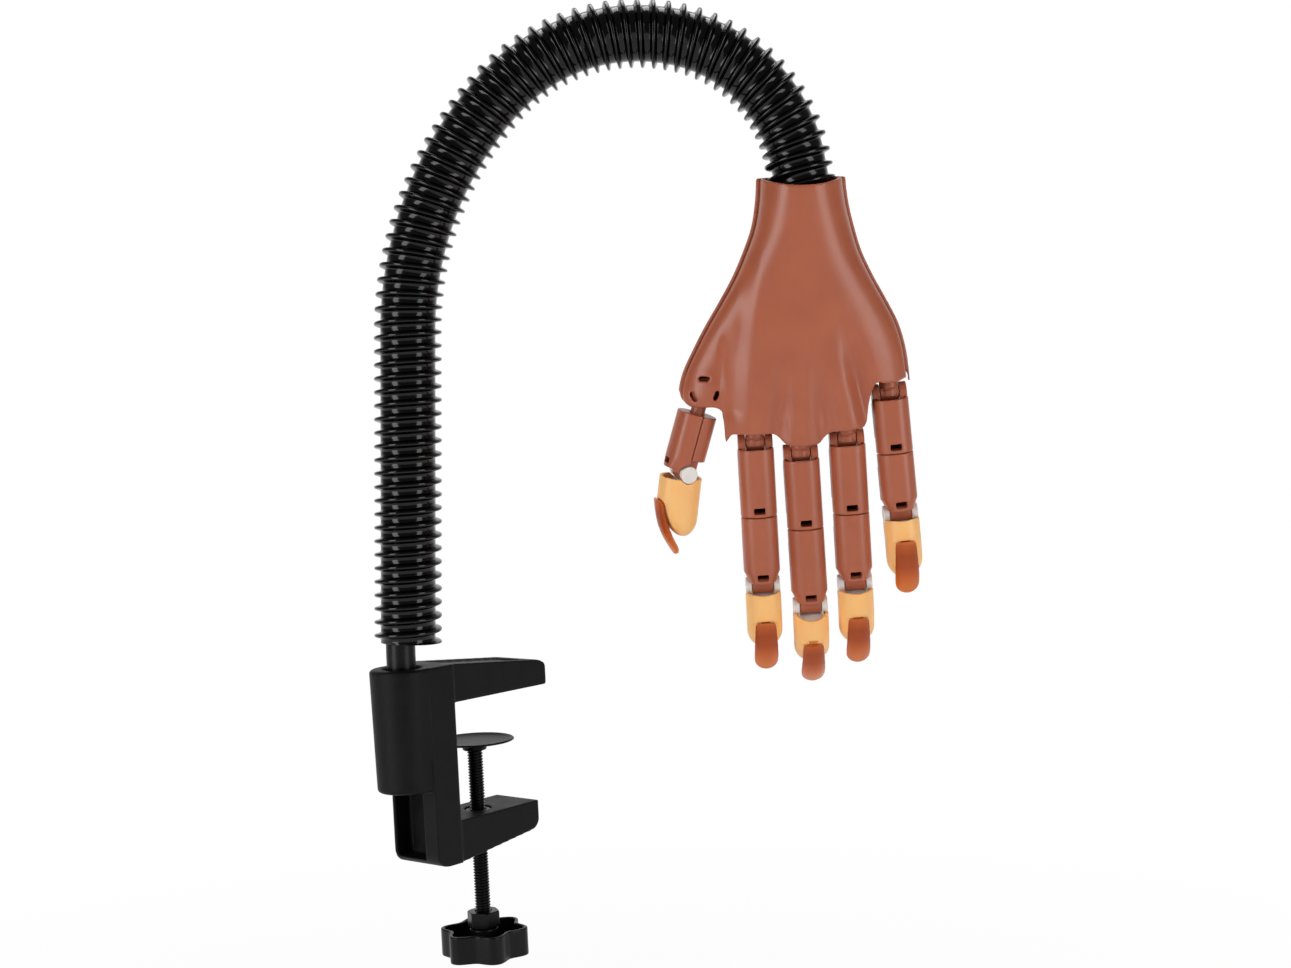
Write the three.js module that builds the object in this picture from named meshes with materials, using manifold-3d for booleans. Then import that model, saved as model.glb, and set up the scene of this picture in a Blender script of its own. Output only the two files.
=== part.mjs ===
// Nail practice hand: a jointed plastic hand that hangs from a flexible arm on a table clamp.
// Millimetres and degrees, +Z up. The origin is on the gripping face of the upper jaw,
// on the axis of the clamp screw. The jaws point along +X, and a table top lies in z = 0.

import * as THREE from 'three';
import { mergeVertices } from 'three/addons/utils/BufferGeometryUtils.js';
import Module from 'manifold-3d';

const wasm = await Module();
wasm.setup();

// Driving dimensions

const GAP = 0.3; // clearance between pieces that touch, turn or slide

// Clamp
const JAW_OPENING = 50;
const SPINE_WIDTH = 27;
const JAW_WIDTH = 25.4;
const SPINE_INNER_X = -23;
const SPINE_BACK_X = -37.3;
const UPPER_JAW_ROOT = 16.4;
const UPPER_JAW_TIP = 11.6;
const UPPER_JAW_REACH = 39;
const UPPER_JAW_CHAMFER = 7;
const LOWER_JAW_ROOT = 17.7;
const LOWER_JAW_TIP = 12;
const LOWER_JAW_REACH = 25;
const JAW_CORNER = 5;
const SPINE_CORNER = 7;
const BOSS_X = -40;
const BOSS_RADIUS = 13.5;
const BOSS_DRAFT = 0.9;
const BOSS_LENGTH = 51.4;
const BORE_DEPTH = 40.7;
const RECESS_DEPTH = 9;
const RECESS_NEAR_Y = -5.2;
const RECESS_WALL = 1.6;

// Clamp screw
const SCREW_RADIUS = 3.4;
const SCREW_TOP = -22.4;
const INSERT_RADIUS = 5.6;
const PAD_RADIUS = 17.2;
const PAD_TOP = -20;
const PAD_RIM = 0.9;
const PAD_CONE = 1.7;
const PAD_HUB_RADIUS = 5.2;
const PAD_HUB_HEIGHT = 4.6;
const NUT_ACROSS_FLATS = 12.5;
const NUT_HEIGHT = 7;
const NUT_TOP = -95;
const KNOB_RADIUS = 17.3;
const KNOB_LOBE = 2;
const KNOB_LOBES = 6;
const KNOB_HEIGHT = 12;
const KNOB_WALL = 1.7;
const KNOB_FLOOR = 2.4;
const KNOB_HUB_RADIUS = 6.2;

// Flexible arm, which bends in one upright plane
const ARM_TURN = -50;
const CORE_RADIUS = 6.1;
const SLEEVE_CREST = 14;
const SLEEVE_ROOT = 11.35;
const SLEEVE_BORE = 9.8;
const RIB_PITCH = 5.6;
const RIBS_PER_BORE_RING = 5;
const SLEEVE_SIDES = 8;
const CORE_SIDES = 10;
const SLEEVE_START_Z = 27;
const ARM_LEAN = 87;
const ARM_STRAIGHT = 129.5;
const ARM_BENDS = [
  { turn: 42, radius: 144 },
  { turn: 62, radius: 78 },
  { turn: 65, radius: 63.5 },
];
const ARM_END_STRAIGHT = 12;
const SLEEVE_IN_WRIST = 5;
const SLEEVE_HINGE_GAP = 2.9;
const BALL_CLEARANCE = 0.8;
const CORE_IN_WRIST = 27;

// Hand
const HAND_TILT = 8;
const HAND_LEAN = 1.3;
const SHELL_WALL = 2.2;
const PALM_RIM = 1.6;
const WRIST_DIP = 2.5;
const BULKHEAD_START = 7;
const BULKHEAD_HEIGHT = 9;
const COLLAR_RADIUS = 9.6;
const COLLAR_HEIGHT = 6;
const SHELL_SCREW_RADIUS = 1.5;
const SHELL_SCREW_HEAD = 2.8;
const SHELL_BOSS_RADIUS = 4.4;
const SHELL_SCREW_SEAT = 4.5;
const SHELL_SCREW_LENGTH = 11;
const SHELL_SCREW_PLACES = [
  [0, -44],
  [-22, -79],
  [22, -79],
];

// Fingers: the place of the knuckle hinge in the hand, the lean, the lengths between hinges,
// the bend of the tip, and how far down the cap its nail begins
const FINGERS = [
  { name: 'index', x: -20.6, z: -110.1, splay: 2.2, first: 31.3, second: 30.8, tip: 3, nailTop: 12 },
  { name: 'middle', x: -1.4, z: -115.2, splay: 3, first: 31.9, second: 34.4, tip: 15, nailTop: 12.2 },
  { name: 'ring', x: 18.1, z: -109.4, splay: 2.9, first: 31.6, second: 31, tip: 6, nailTop: 11 },
  { name: 'little', x: 36.1, z: -90.3, splay: 5.2, first: 25.3, second: 26.8, tip: -3, nailTop: 9 },
];
const FINGER_HALF_WIDTH = 7.75;
const FINGER_HALF_DEPTH = 8.2;
const FINGER_POWER = 2.4;
const HINGE_Y = 1;
const COVER_WALL = 1.4;
const BODY_END = 6.2;
const PIN_RADIUS = 1.5;
const EYE_HALF_WIDTH = 3.9;
const EYE_RADIUS = 3.6;
const KNUCKLE_EAR_RADIUS = 4;
const KNUCKLE_EAR_OUTER = 7.3;
const COVER_BELOW_KNUCKLE = 2.3;
const MIDDLE_EAR_RADIUS = 3;
const MIDDLE_EAR_WIDTH = 1.35;
const TONGUE_HALF_WIDTH = 4.4;
const TIP_EAR_RADIUS = 3.65;
const TIP_EAR_WIDTH = 2.6;
const COVER_ABOVE_TIP = 2.1;
const COVER_NOSE_HALF_WIDTH = 5.9;
const COVER_SHOULDER = 4.7;
const WINDOW_WIDTH = 4.4;
const WINDOW_HEIGHT = 2.3;
const WINDOW_ABOVE_END = 1.6;
const SOCKET_ABOVE_HINGE = 7.4;
const SOCKET_HEIGHT = 6;
const STEM_RADIUS = 3.9;
const STEM_HEAD_RADIUS = 5.2;
const STEM_HEAD_HEIGHT = 2.2;
const EDGE_ABOVE_HINGE = 4.7;
const PALM_EDGE_ABOVE_HINGE = 7.8;
const PALM_STEP_BACK = 2;

// Finger tips and nails
const CAP_HALF_WIDTH = 7.6;
const CAP_HALF_DEPTH = 8.9;
const CAP_TOP = 2.1;
const CAP_LENGTH = 25.6;
const CAP_WALL = 1.4;
const CAP_POCKET = 8;
const CAP_STRAIGHT = 17.5; // the cap keeps its section down to here and then rounds off
const CAP_END_DEPTH = 2.4; // from the finger's axis to the nail bed at the cap's end
const NAIL_LENGTH = 26.5;
const NAIL_SLOPE = 26;
const NAIL_PROUD = 1.8;
const NAIL_BOW = 1.4;
const NAIL_HALF_WIDTH = 4.9;
const NAIL_CURVE = 6.2;
const NAIL_THICKNESS = 1.4;
const NAIL_TAB_WIDTH = 3.6;
const NAIL_TAB_LENGTH = 3.4;
const NAIL_TAB_THICKNESS = 1.4;

// Thumb
const THUMB_X = -41.8;
const THUMB_Z = -86.9;
const THUMB_LEAN = 16.3;
const THUMB_TWIST = -70;
const THUMB_LENGTH = 36.1;
const THUMB_TIP_FLEX = 9;
const THUMB_NAIL_TOP = 10.3;
const THUMB_SEGMENT_TOP = 10.6;
const THUMB_COVER_ABOVE_TIP = 0.9;
const THUMB_SWING = [-8, 20];
const THUMB_EYE_RADIUS = 5.4;
const THUMB_EYE_HALF_HEIGHT = 4;
const THUMB_PIVOT_RADIUS = 2.4;
const THUMB_STEM_RADIUS = 3.1;
const THUMB_STEM_END = 17;
const LOBE_EDGE = 7;
const LOBE_SIDE = 10.2;
const LOBE_BLOCK_RADIUS = 9;
const LOBE_SLOT_INNER = 4.3;
const LOBE_SLOT_OUTER = 6.2;
const LOBE_SLOT_SPAN = 48;
const LOBE_SLOT_PLACES = [90, 208, 340];

// Materials

function plastic(colour, roughness) {
  return new THREE.MeshStandardMaterial({ color: colour, roughness, metalness: 0 });
}

function steel(colour, roughness) {
  return new THREE.MeshStandardMaterial({ color: colour, roughness, metalness: 1 });
}

const CLAMP_BLACK = plastic('#222022', 0.55);
const SLEEVE_BLACK = plastic('#0b0b0b', 0.25);
const KNOB_BLACK = plastic('#151515', 0.4);
const SKIN_BROWN = plastic('#a15c42', 0.42);
const TIP_PEACH = plastic('#f4b36a', 0.45);
const INSERT_WHITE = plastic('#e6e0d9', 0.4);
const NAIL_BROWN = plastic('#b85a33', 0.2);
const BLACKED_STEEL = steel('#2a2a2b', 0.4);
const BRIGHT_STEEL = steel('#b9b9bb', 0.3);

// Solids: a closed geometry becomes a solid for cuts and joins, and is turned back for its mesh

function solid(geometry) {
  const bare = geometry.clone();
  bare.deleteAttribute('normal');
  bare.deleteAttribute('uv');
  const merged = mergeVertices(bare, 1e-4);
  const corners = merged.index.array;
  const kept = [];
  for (let i = 0; i < corners.length; i += 3) {
    const [a, b, c] = [corners[i], corners[i + 1], corners[i + 2]];
    if (a !== b && b !== c && c !== a) kept.push(a, b, c);
  }
  const vertProperties = new Float32Array(merged.attributes.position.array);
  const triVerts = new Uint32Array(facingOut(vertProperties, kept));
  return new wasm.Manifold(new wasm.Mesh({ numProp: 3, vertProperties, triVerts }));
}

// Triangles in the order that makes the enclosed volume positive, so that every face points out
function facingOut(positions, triangles) {
  let volume = 0;
  const point = (i) => new THREE.Vector3().fromArray(positions, 3 * i);
  for (let i = 0; i < triangles.length; i += 3) {
    const [a, b, c] = [point(triangles[i]), point(triangles[i + 1]), point(triangles[i + 2])];
    volume += a.dot(b.cross(c));
  }
  return volume > 0 ? triangles : triangles.slice().reverse();
}

function geometryOf(body) {
  const mesh = body.getMesh();
  const geometry = new THREE.BufferGeometry();
  geometry.setAttribute('position', new THREE.BufferAttribute(mesh.vertProperties, 3));
  geometry.setIndex(new THREE.BufferAttribute(mesh.triVerts, 1));
  return geometry;
}

function join(first, ...others) {
  return others.reduce((body, other) => body.add(other), first);
}

function cut(first, ...others) {
  return others.reduce((body, other) => body.subtract(other), first);
}

function box(x0, x1, y0, y1, z0, z1) {
  const geometry = new THREE.BoxGeometry(x1 - x0, y1 - y0, z1 - z0);
  return solid(geometry.translate((x0 + x1) / 2, (y0 + y1) / 2, (z0 + z1) / 2));
}

// A cylinder along X, Y or Z from one coordinate to another, through (u, v) on the other two axes
function rod(axis, from, to, u, v, radius, sides = 12) {
  const geometry = new THREE.CylinderGeometry(radius, radius, Math.abs(to - from), sides);
  const middle = (from + to) / 2;
  if (axis === 'x') geometry.rotateZ(Math.PI / 2).translate(middle, u, v);
  if (axis === 'y') geometry.translate(u, middle, v);
  if (axis === 'z') geometry.rotateX(Math.PI / 2).translate(u, v, middle);
  return solid(geometry);
}

// A turned piece about Z: the profile is a list of [radius, z] that starts and ends on the axis or closes
function turned(profile, sides = 24) {
  const points = profile.map(([radius, z]) => new THREE.Vector2(radius, z));
  return solid(new THREE.LatheGeometry(points, sides).rotateX(Math.PI / 2));
}

// An outline in X and Z, pushed through the given stretch of Y
function plate(shape, y0, y1, curveSegments = 8) {
  const geometry = new THREE.ExtrudeGeometry(shape, { depth: y1 - y0, bevelEnabled: false, curveSegments });
  return solid(geometry.rotateX(Math.PI / 2).translate(0, y1, 0));
}

// Rings of points joined into one skin, with a fan closing each end
function loft(rings) {
  const count = rings[0].length;
  const positions = rings.flat().flat();
  const triangles = [];
  for (let i = 0; i < rings.length - 1; i += 1) {
    for (let j = 0; j < count; j += 1) {
      const a = i * count + j;
      const b = i * count + ((j + 1) % count);
      triangles.push(a, b, b + count, a, b + count, a + count);
    }
  }
  addFan(positions, triangles, rings[0], 0, false);
  addFan(positions, triangles, rings[rings.length - 1], (rings.length - 1) * count, true);
  return closedSkin(positions, triangles);
}

function addFan(positions, triangles, ring, start, facesUp) {
  const centre = positions.length / 3;
  const mean = [0, 1, 2].map((k) => ring.reduce((sum, point) => sum + point[k], 0) / ring.length);
  positions.push(...mean);
  for (let j = 0; j < ring.length; j += 1) {
    const a = start + j;
    const b = start + ((j + 1) % ring.length);
    if (facesUp) triangles.push(a, b, centre);
    else triangles.push(b, a, centre);
  }
}

function closedSkin(positions, triangles) {
  const geometry = new THREE.BufferGeometry();
  geometry.setAttribute('position', new THREE.BufferAttribute(new Float32Array(positions), 3));
  geometry.setIndex(triangles);
  return solid(geometry);
}

// A rounded-rectangle ring at one height: from left to right in x and from back to palm in y
function ovalRing(z, left, right, back, palm, power, count) {
  const centre = [(left + right) / 2, (back + palm) / 2];
  const half = [(right - left) / 2, (palm - back) / 2];
  const ring = [];
  for (let i = 0; i < count; i += 1) {
    const angle = (2 * Math.PI * (i + 0.5)) / count;
    const c = Math.cos(angle);
    const s = Math.sin(angle);
    const x = Math.sign(c) * Math.abs(c) ** (2 / power);
    const y = Math.sign(s) * Math.abs(s) ** (2 / power);
    ring.push([centre[0] + x * half[0], centre[1] + y * half[1], z]);
  }
  return ring;
}

function piece(name, body, material) {
  const mesh = new THREE.Mesh(geometryOf(body), material);
  mesh.name = name;
  return mesh;
}

// Clamp

function clampOutline() {
  const shape = new THREE.Shape();
  const bottom = -JAW_OPENING - LOWER_JAW_ROOT;
  const lowerTip = -JAW_OPENING - LOWER_JAW_TIP;
  const slope = (LOWER_JAW_ROOT - LOWER_JAW_TIP) / (LOWER_JAW_REACH - SPINE_INNER_X);
  const cornerX = LOWER_JAW_REACH - JAW_CORNER;
  shape.moveTo(SPINE_BACK_X, UPPER_JAW_ROOT);
  shape.lineTo(SPINE_INNER_X, UPPER_JAW_ROOT);
  shape.lineTo(UPPER_JAW_REACH - 2 * JAW_CORNER, UPPER_JAW_TIP);
  const tipX = UPPER_JAW_REACH - 0.5;
  shape.quadraticCurveTo(tipX - 0.5, UPPER_JAW_TIP, tipX, UPPER_JAW_TIP - JAW_CORNER);
  shape.lineTo(UPPER_JAW_REACH, 0);
  shape.lineTo(SPINE_INNER_X, 0);
  shape.lineTo(SPINE_INNER_X, -JAW_OPENING);
  shape.lineTo(LOWER_JAW_REACH, -JAW_OPENING);
  shape.lineTo(LOWER_JAW_REACH, lowerTip + JAW_CORNER);
  shape.quadraticCurveTo(LOWER_JAW_REACH, lowerTip, cornerX, lowerTip - slope * JAW_CORNER);
  shape.lineTo(SPINE_INNER_X, bottom);
  shape.lineTo(SPINE_BACK_X + SPINE_CORNER, bottom);
  shape.quadraticCurveTo(SPINE_BACK_X, bottom, SPINE_BACK_X, bottom + SPINE_CORNER);
  shape.lineTo(SPINE_BACK_X, UPPER_JAW_ROOT);
  return shape;
}

function clampBody() {
  const halfSpine = SPINE_WIDTH / 2;
  const halfJaw = JAW_WIDTH / 2;
  const bottom = -JAW_OPENING - LOWER_JAW_ROOT;
  const frame = plate(clampOutline(), -halfSpine, halfSpine);
  const jawSide = (y0, y1) => box(SPINE_INNER_X, 60, y0, y1, bottom - 1, UPPER_JAW_ROOT + 1);
  const cornerCut = (side) => {
    const shape = new THREE.Shape();
    shape.moveTo(UPPER_JAW_REACH - UPPER_JAW_CHAMFER, side * halfJaw);
    shape.lineTo(UPPER_JAW_REACH + 1, side * (halfJaw - UPPER_JAW_CHAMFER - 1));
    shape.lineTo(UPPER_JAW_REACH + 1, side * (halfJaw + 2));
    shape.lineTo(UPPER_JAW_REACH - UPPER_JAW_CHAMFER - 2, side * (halfJaw + 2));
    const height = UPPER_JAW_ROOT + 2;
    const geometry = new THREE.ExtrudeGeometry(shape, { depth: height, bevelEnabled: false });
    return solid(geometry.translate(0, 0, -1));
  };
  const bossBottom = UPPER_JAW_ROOT - BOSS_LENGTH;
  const boss = turned([
    [0, bossBottom],
    [BOSS_RADIUS - BOSS_DRAFT - 1, bossBottom],
    [BOSS_RADIUS - BOSS_DRAFT, bossBottom + 1],
    [BOSS_RADIUS, UPPER_JAW_ROOT - 1],
    [BOSS_RADIUS - 1, UPPER_JAW_ROOT],
    [0, UPPER_JAW_ROOT],
  ], 32).translate([BOSS_X, 0, 0]);
  const bore = rod('z', UPPER_JAW_ROOT - BORE_DEPTH, UPPER_JAW_ROOT + 1, BOSS_X, 0, CORE_RADIUS + GAP, 20);
  const recess = box(
    SPINE_BACK_X - 1,
    SPINE_BACK_X + RECESS_DEPTH,
    RECESS_NEAR_Y,
    halfSpine - RECESS_WALL,
    bottom + 2 * RECESS_WALL,
    bossBottom - RECESS_WALL,
  );
  const screwHole = rod('z', bottom - 5, -JAW_OPENING + 1, 0, 0, INSERT_RADIUS + GAP, 16);
  const trimmed = cut(
    frame,
    jawSide(halfJaw, halfSpine + 1),
    jawSide(-halfSpine - 1, -halfJaw),
    cornerCut(1),
    cornerCut(-1),
  );
  return cut(join(trimmed, boss), bore, recess, screwHole);
}

// The lower jaw's underside slopes, so the insert ends level with it on the screw axis
function lowerJawUnderside() {
  const share = -SPINE_INNER_X / (LOWER_JAW_REACH - SPINE_INNER_X);
  return -JAW_OPENING - LOWER_JAW_ROOT - (LOWER_JAW_TIP - LOWER_JAW_ROOT) * share;
}

function threadInsert() {
  const body = rod('z', lowerJawUnderside() + 0.6, -JAW_OPENING - 0.6, 0, 0, INSERT_RADIUS, 16);
  return cut(body, rod('z', -90, 0, 0, 0, SCREW_RADIUS + GAP, 16));
}

function pressurePad() {
  const underside = PAD_TOP - PAD_RIM - PAD_CONE;
  const hubBottom = PAD_TOP - PAD_HUB_HEIGHT;
  return turned([
    [0, PAD_TOP],
    [PAD_RADIUS, PAD_TOP],
    [PAD_RADIUS, PAD_TOP - PAD_RIM],
    [PAD_HUB_RADIUS, underside],
    [PAD_HUB_RADIUS, hubBottom],
    [SCREW_RADIUS + GAP, hubBottom],
    [SCREW_RADIUS + GAP, SCREW_TOP + GAP],
    [0, SCREW_TOP + GAP],
  ], 22);
}

function clampScrew() {
  const end = NUT_TOP - NUT_HEIGHT - KNOB_HEIGHT + KNOB_FLOOR;
  return turned([
    [0, end],
    [SCREW_RADIUS, end],
    [SCREW_RADIUS, SCREW_TOP - 0.6],
    [SCREW_RADIUS - 0.6, SCREW_TOP],
    [0, SCREW_TOP],
  ], 16);
}

function jamNut() {
  const radius = NUT_ACROSS_FLATS / Math.sqrt(3);
  const body = rod('z', NUT_TOP - NUT_HEIGHT, NUT_TOP, 0, 0, radius, 6);
  return cut(body, rod('z', NUT_TOP - NUT_HEIGHT - 1, NUT_TOP + 1, 0, 0, SCREW_RADIUS + GAP, 16));
}

function knobOutline(inset) {
  const shape = new THREE.Shape();
  const steps = KNOB_LOBES * 6;
  for (let i = 0; i < steps; i += 1) {
    const angle = (2 * Math.PI * i) / steps;
    const radius = KNOB_RADIUS + KNOB_LOBE * Math.cos(KNOB_LOBES * angle) - inset;
    const point = [radius * Math.cos(angle), radius * Math.sin(angle)];
    if (i === 0) shape.moveTo(...point);
    else shape.lineTo(...point);
  }
  shape.closePath();
  return shape;
}

function starKnob() {
  const top = NUT_TOP - NUT_HEIGHT - GAP;
  const bottom = top - KNOB_HEIGHT;
  const rise = (inset, z0, z1) => {
    const options = { depth: z1 - z0, bevelEnabled: false };
    return solid(new THREE.ExtrudeGeometry(knobOutline(inset), options).translate(0, 0, z0));
  };
  const cup = cut(rise(0, bottom, top), rise(KNOB_WALL, bottom + KNOB_FLOOR, top + 1));
  const hub = rod('z', bottom + 1, top, 0, 0, KNOB_HUB_RADIUS, 20);
  const bore = rod('z', bottom + KNOB_FLOOR - GAP, top + 1, 0, 0, SCREW_RADIUS + GAP, 16);
  return cut(join(cup, hub), bore);
}

// Flexible arm: the sleeve's centre line in the arm's plane, as a place and a heading at each length

const SLEEVE_OFFSET = SLEEVE_BORE - CORE_RADIUS - GAP; // the sleeve hangs on the outer side of the core

function armStretches() {
  const stretches = [{ length: ARM_STRAIGHT, turn: 0 }];
  for (const bend of ARM_BENDS) {
    stretches.push({ length: THREE.MathUtils.degToRad(bend.turn) * bend.radius, turn: bend.turn });
  }
  stretches.push({ length: ARM_END_STRAIGHT, turn: 0 });
  return stretches;
}

function armPlace(length) {
  let heading = THREE.MathUtils.degToRad(ARM_LEAN);
  let x = SLEEVE_OFFSET * Math.sin(heading);
  let z = SLEEVE_START_Z;
  let left = length;
  for (const stretch of armStretches()) {
    const run = Math.min(left, stretch.length);
    const turn = THREE.MathUtils.degToRad(stretch.turn) * (run / stretch.length);
    const chord = turn === 0 ? run : (2 * run * Math.sin(turn / 2)) / turn;
    x += chord * Math.cos(heading - turn / 2);
    z += chord * Math.sin(heading - turn / 2);
    heading -= turn;
    left -= run;
    if (left <= 1e-9) break;
  }
  x += left * Math.cos(heading);
  z += left * Math.sin(heading);
  return { x, z, heading };
}

// Lengths along the arm at which one part of it ends and the next one hinges
function armMarks() {
  const marks = [0];
  for (const stretch of armStretches()) marks.push(marks[marks.length - 1] + stretch.length);
  return marks;
}

function sleeveRing(length, radius) {
  const { x, z, heading } = armPlace(length);
  const ring = [];
  for (let i = 0; i < SLEEVE_SIDES; i += 1) {
    const angle = (2 * Math.PI * (i + 0.5)) / SLEEVE_SIDES;
    const out = radius * Math.cos(angle);
    ring.push([x - out * Math.sin(heading), radius * Math.sin(angle), z + out * Math.cos(heading)]);
  }
  return ring;
}

// Lengths of the rings in the bore, which the core's bends share so that it lies along the bore
function boreStations(from, to) {
  const ribs = Math.round((to - from) / RIB_PITCH);
  const steps = Math.ceil(ribs / RIBS_PER_BORE_RING);
  const stations = [];
  for (let i = 0; i <= steps; i += 1) stations.push(from + ((to - from) * i) / steps);
  return stations;
}

// One ribbed stretch: a crest and a root for each rib outside, and a ring every few ribs in the bore
function ribbedSleeve(from, to, startGap, endGap) {
  const ribs = Math.round((to - from) / RIB_PITCH);
  const pitch = (to - from) / ribs;
  const start = from + startGap;
  const end = to - endGap;
  const outer = [sleeveRing(start, SLEEVE_ROOT)];
  for (let i = 0; i < ribs; i += 1) {
    outer.push(sleeveRing(from + (i + 0.5) * pitch, SLEEVE_CREST));
    if (i < ribs - 1) outer.push(sleeveRing(from + (i + 1) * pitch, SLEEVE_ROOT));
  }
  outer.push(sleeveRing(end, SLEEVE_ROOT));
  const boreRadius = SLEEVE_BORE / Math.cos(Math.PI / SLEEVE_SIDES);
  const inside = boreStations(from, to).map((length) => THREE.MathUtils.clamp(length, start, end));
  const bore = inside.map((length) => sleeveRing(length, boreRadius));
  const loop = [...outer, ...bore.reverse()];
  const count = SLEEVE_SIDES;
  const triangles = [];
  for (let i = 0; i < loop.length; i += 1) {
    const next = (i + 1) % loop.length;
    for (let j = 0; j < count; j += 1) {
      const k = (j + 1) % count;
      triangles.push(i * count + j, i * count + k, next * count + k);
      triangles.push(i * count + j, next * count + k, next * count + j);
    }
  }
  return closedSkin(loop.flat().flat(), triangles);
}

// The core lies against the outer side of the sleeve, and is centred in it at the wrist
function corePoint(length) {
  const marks = armMarks();
  const { x, z, heading } = armPlace(length);
  const easeStart = marks[3];
  const easeEnd = marks[4];
  const ease = THREE.MathUtils.smoothstep(length, easeStart, easeEnd);
  const offset = SLEEVE_OFFSET * (1 - ease);
  return new THREE.Vector3(x - offset * Math.sin(heading), 0, z + offset * Math.cos(heading));
}

function coreRod(stations, foot) {
  const points = [...foot, ...stations.map(corePoint)];
  const circle = new THREE.Shape();
  for (let i = 0; i < CORE_SIDES; i += 1) {
    const angle = (2 * Math.PI * (i + 0.5)) / CORE_SIDES;
    const corner = [CORE_RADIUS * Math.cos(angle), CORE_RADIUS * Math.sin(angle)];
    if (i === 0) circle.moveTo(...corner);
    else circle.lineTo(...corner);
  }
  const path = new THREE.CatmullRomCurve3(points);
  return solid(new THREE.ExtrudeGeometry(circle, { steps: points.length - 1, extrudePath: path }));
}

function ball(centre, radius) {
  return solid(new THREE.SphereGeometry(radius, 10, 6).translate(centre.x, centre.y, centre.z));
}

function coreParts() {
  const marks = armMarks();
  const bore = UPPER_JAW_ROOT - BORE_DEPTH + GAP;
  const neck = (UPPER_JAW_ROOT + SLEEVE_START_Z) / 2;
  const foot = [bore, bore + 15, bore + 30, neck].map((z) => new THREE.Vector3(0, 0, z));
  const wrist = marks[5] - SLEEVE_IN_WRIST;
  const spans = [
    ['core_lower', [6, marks[1] / 2, marks[1]], foot],
    ['core_a', boreStations(marks[1], marks[2]), []],
    ['core_b', boreStations(marks[2], marks[3]), []],
    ['core_c', [...boreStations(marks[3], marks[5]), wrist + CORE_IN_WRIST], []],
  ];
  return spans.map(([name, stations, start], i) => {
    let body = coreRod(stations, start);
    if (i < spans.length - 1) body = body.add(ball(corePoint(stations[stations.length - 1]), CORE_RADIUS));
    if (i > 0) body = body.subtract(ball(corePoint(stations[0]), CORE_RADIUS + BALL_CLEARANCE));
    return piece(name, body, BLACKED_STEEL);
  });
}

function sleeveParts() {
  const marks = armMarks();
  const half = SLEEVE_HINGE_GAP / 2;
  return [
    piece('sleeve_lower', ribbedSleeve(marks[0], marks[1], 0, half), SLEEVE_BLACK),
    piece('sleeve_a', ribbedSleeve(marks[1], marks[2], half, half), SLEEVE_BLACK),
    piece('sleeve_b', ribbedSleeve(marks[2], marks[3], half, half), SLEEVE_BLACK),
    piece('sleeve_c', ribbedSleeve(marks[3], marks[5], half, 0), SLEEVE_BLACK),
  ];
}

// Hand shells. Sections down the hand: height, left and right edges, depth to the back and to the palm.

const HAND_SECTIONS = [
  [0, -18.5, 18.5, 18.2, 18.2, 2],
  [-10.5, -19.2, 19.7, 17.6, 17.6, 2.1],
  [-20.6, -21, 22, 17, 17, 2.2],
  [-30.7, -24.7, 25, 16.4, 16.6, 2.3],
  [-40.7, -29.2, 29.6, 15.8, 16.3, 2.4],
  [-50.8, -34.9, 35.1, 15.3, 16, 2.4],
  [-60.9, -41, 40.2, 15, 15.6, 2.4],
  [-71, -46.4, 43.2, 14.4, 15, 2.4],
  [-81.1, -51, 44.7, 13.6, 14.2, 2.4],
  [-91, -52.4, 45.4, 12.6, 13.2, 2.5],
  [-101, -49, 45.6, 11.6, 12.4, 2.6],
  [-112, -44, 45.8, 10.6, 11.6, 2.7],
];
const SHELL_POINTS = 28;
const INNER_POINTS = 16;
const VALLEY_START_Z = -52;
const VALLEY_END_Z = -104;
const VALLEY_DEPTH = 1.7;
const VALLEY_HALF_WIDTH = 4.2;
const VALLEY_START_SPREAD = 0.55;
const SHELL_TOP = 20;
const SHELL_SIDE = 70;

// The back sinks a little between the knuckles, more towards the fingers
function tendonValley(x, z) {
  const depth = VALLEY_DEPTH * THREE.MathUtils.smoothstep(-z, -VALLEY_START_Z, -VALLEY_END_Z);
  const spread = THREE.MathUtils.mapLinear(z, VALLEY_START_Z, VALLEY_END_Z, VALLEY_START_SPREAD, 1);
  let sink = 0;
  for (let i = 0; i < FINGERS.length - 1; i += 1) {
    const between = (FINGERS[i].x + FINGERS[i + 1].x) / 2;
    const along = (x - between * spread) / VALLEY_HALF_WIDTH;
    sink += depth * Math.exp(-along * along);
  }
  return sink;
}

function handLoft(inset, rim, points, extend) {
  const rings = HAND_SECTIONS.map(([z, left, right, back, palm, power], i) => {
    let height = z;
    if (i === 0) height = z + extend;
    if (i === HAND_SECTIONS.length - 1) height = z - extend;
    const side = inset + rim;
    const ring = ovalRing(height, left + side, right - side, inset - back, palm - inset, power, points);
    return ring.map(([x, y, h]) => [x, y < 0 ? y + tendonValley(x, z) * (-y / back) : y, h]);
  });
  return loft(rings.reverse());
}

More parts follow.
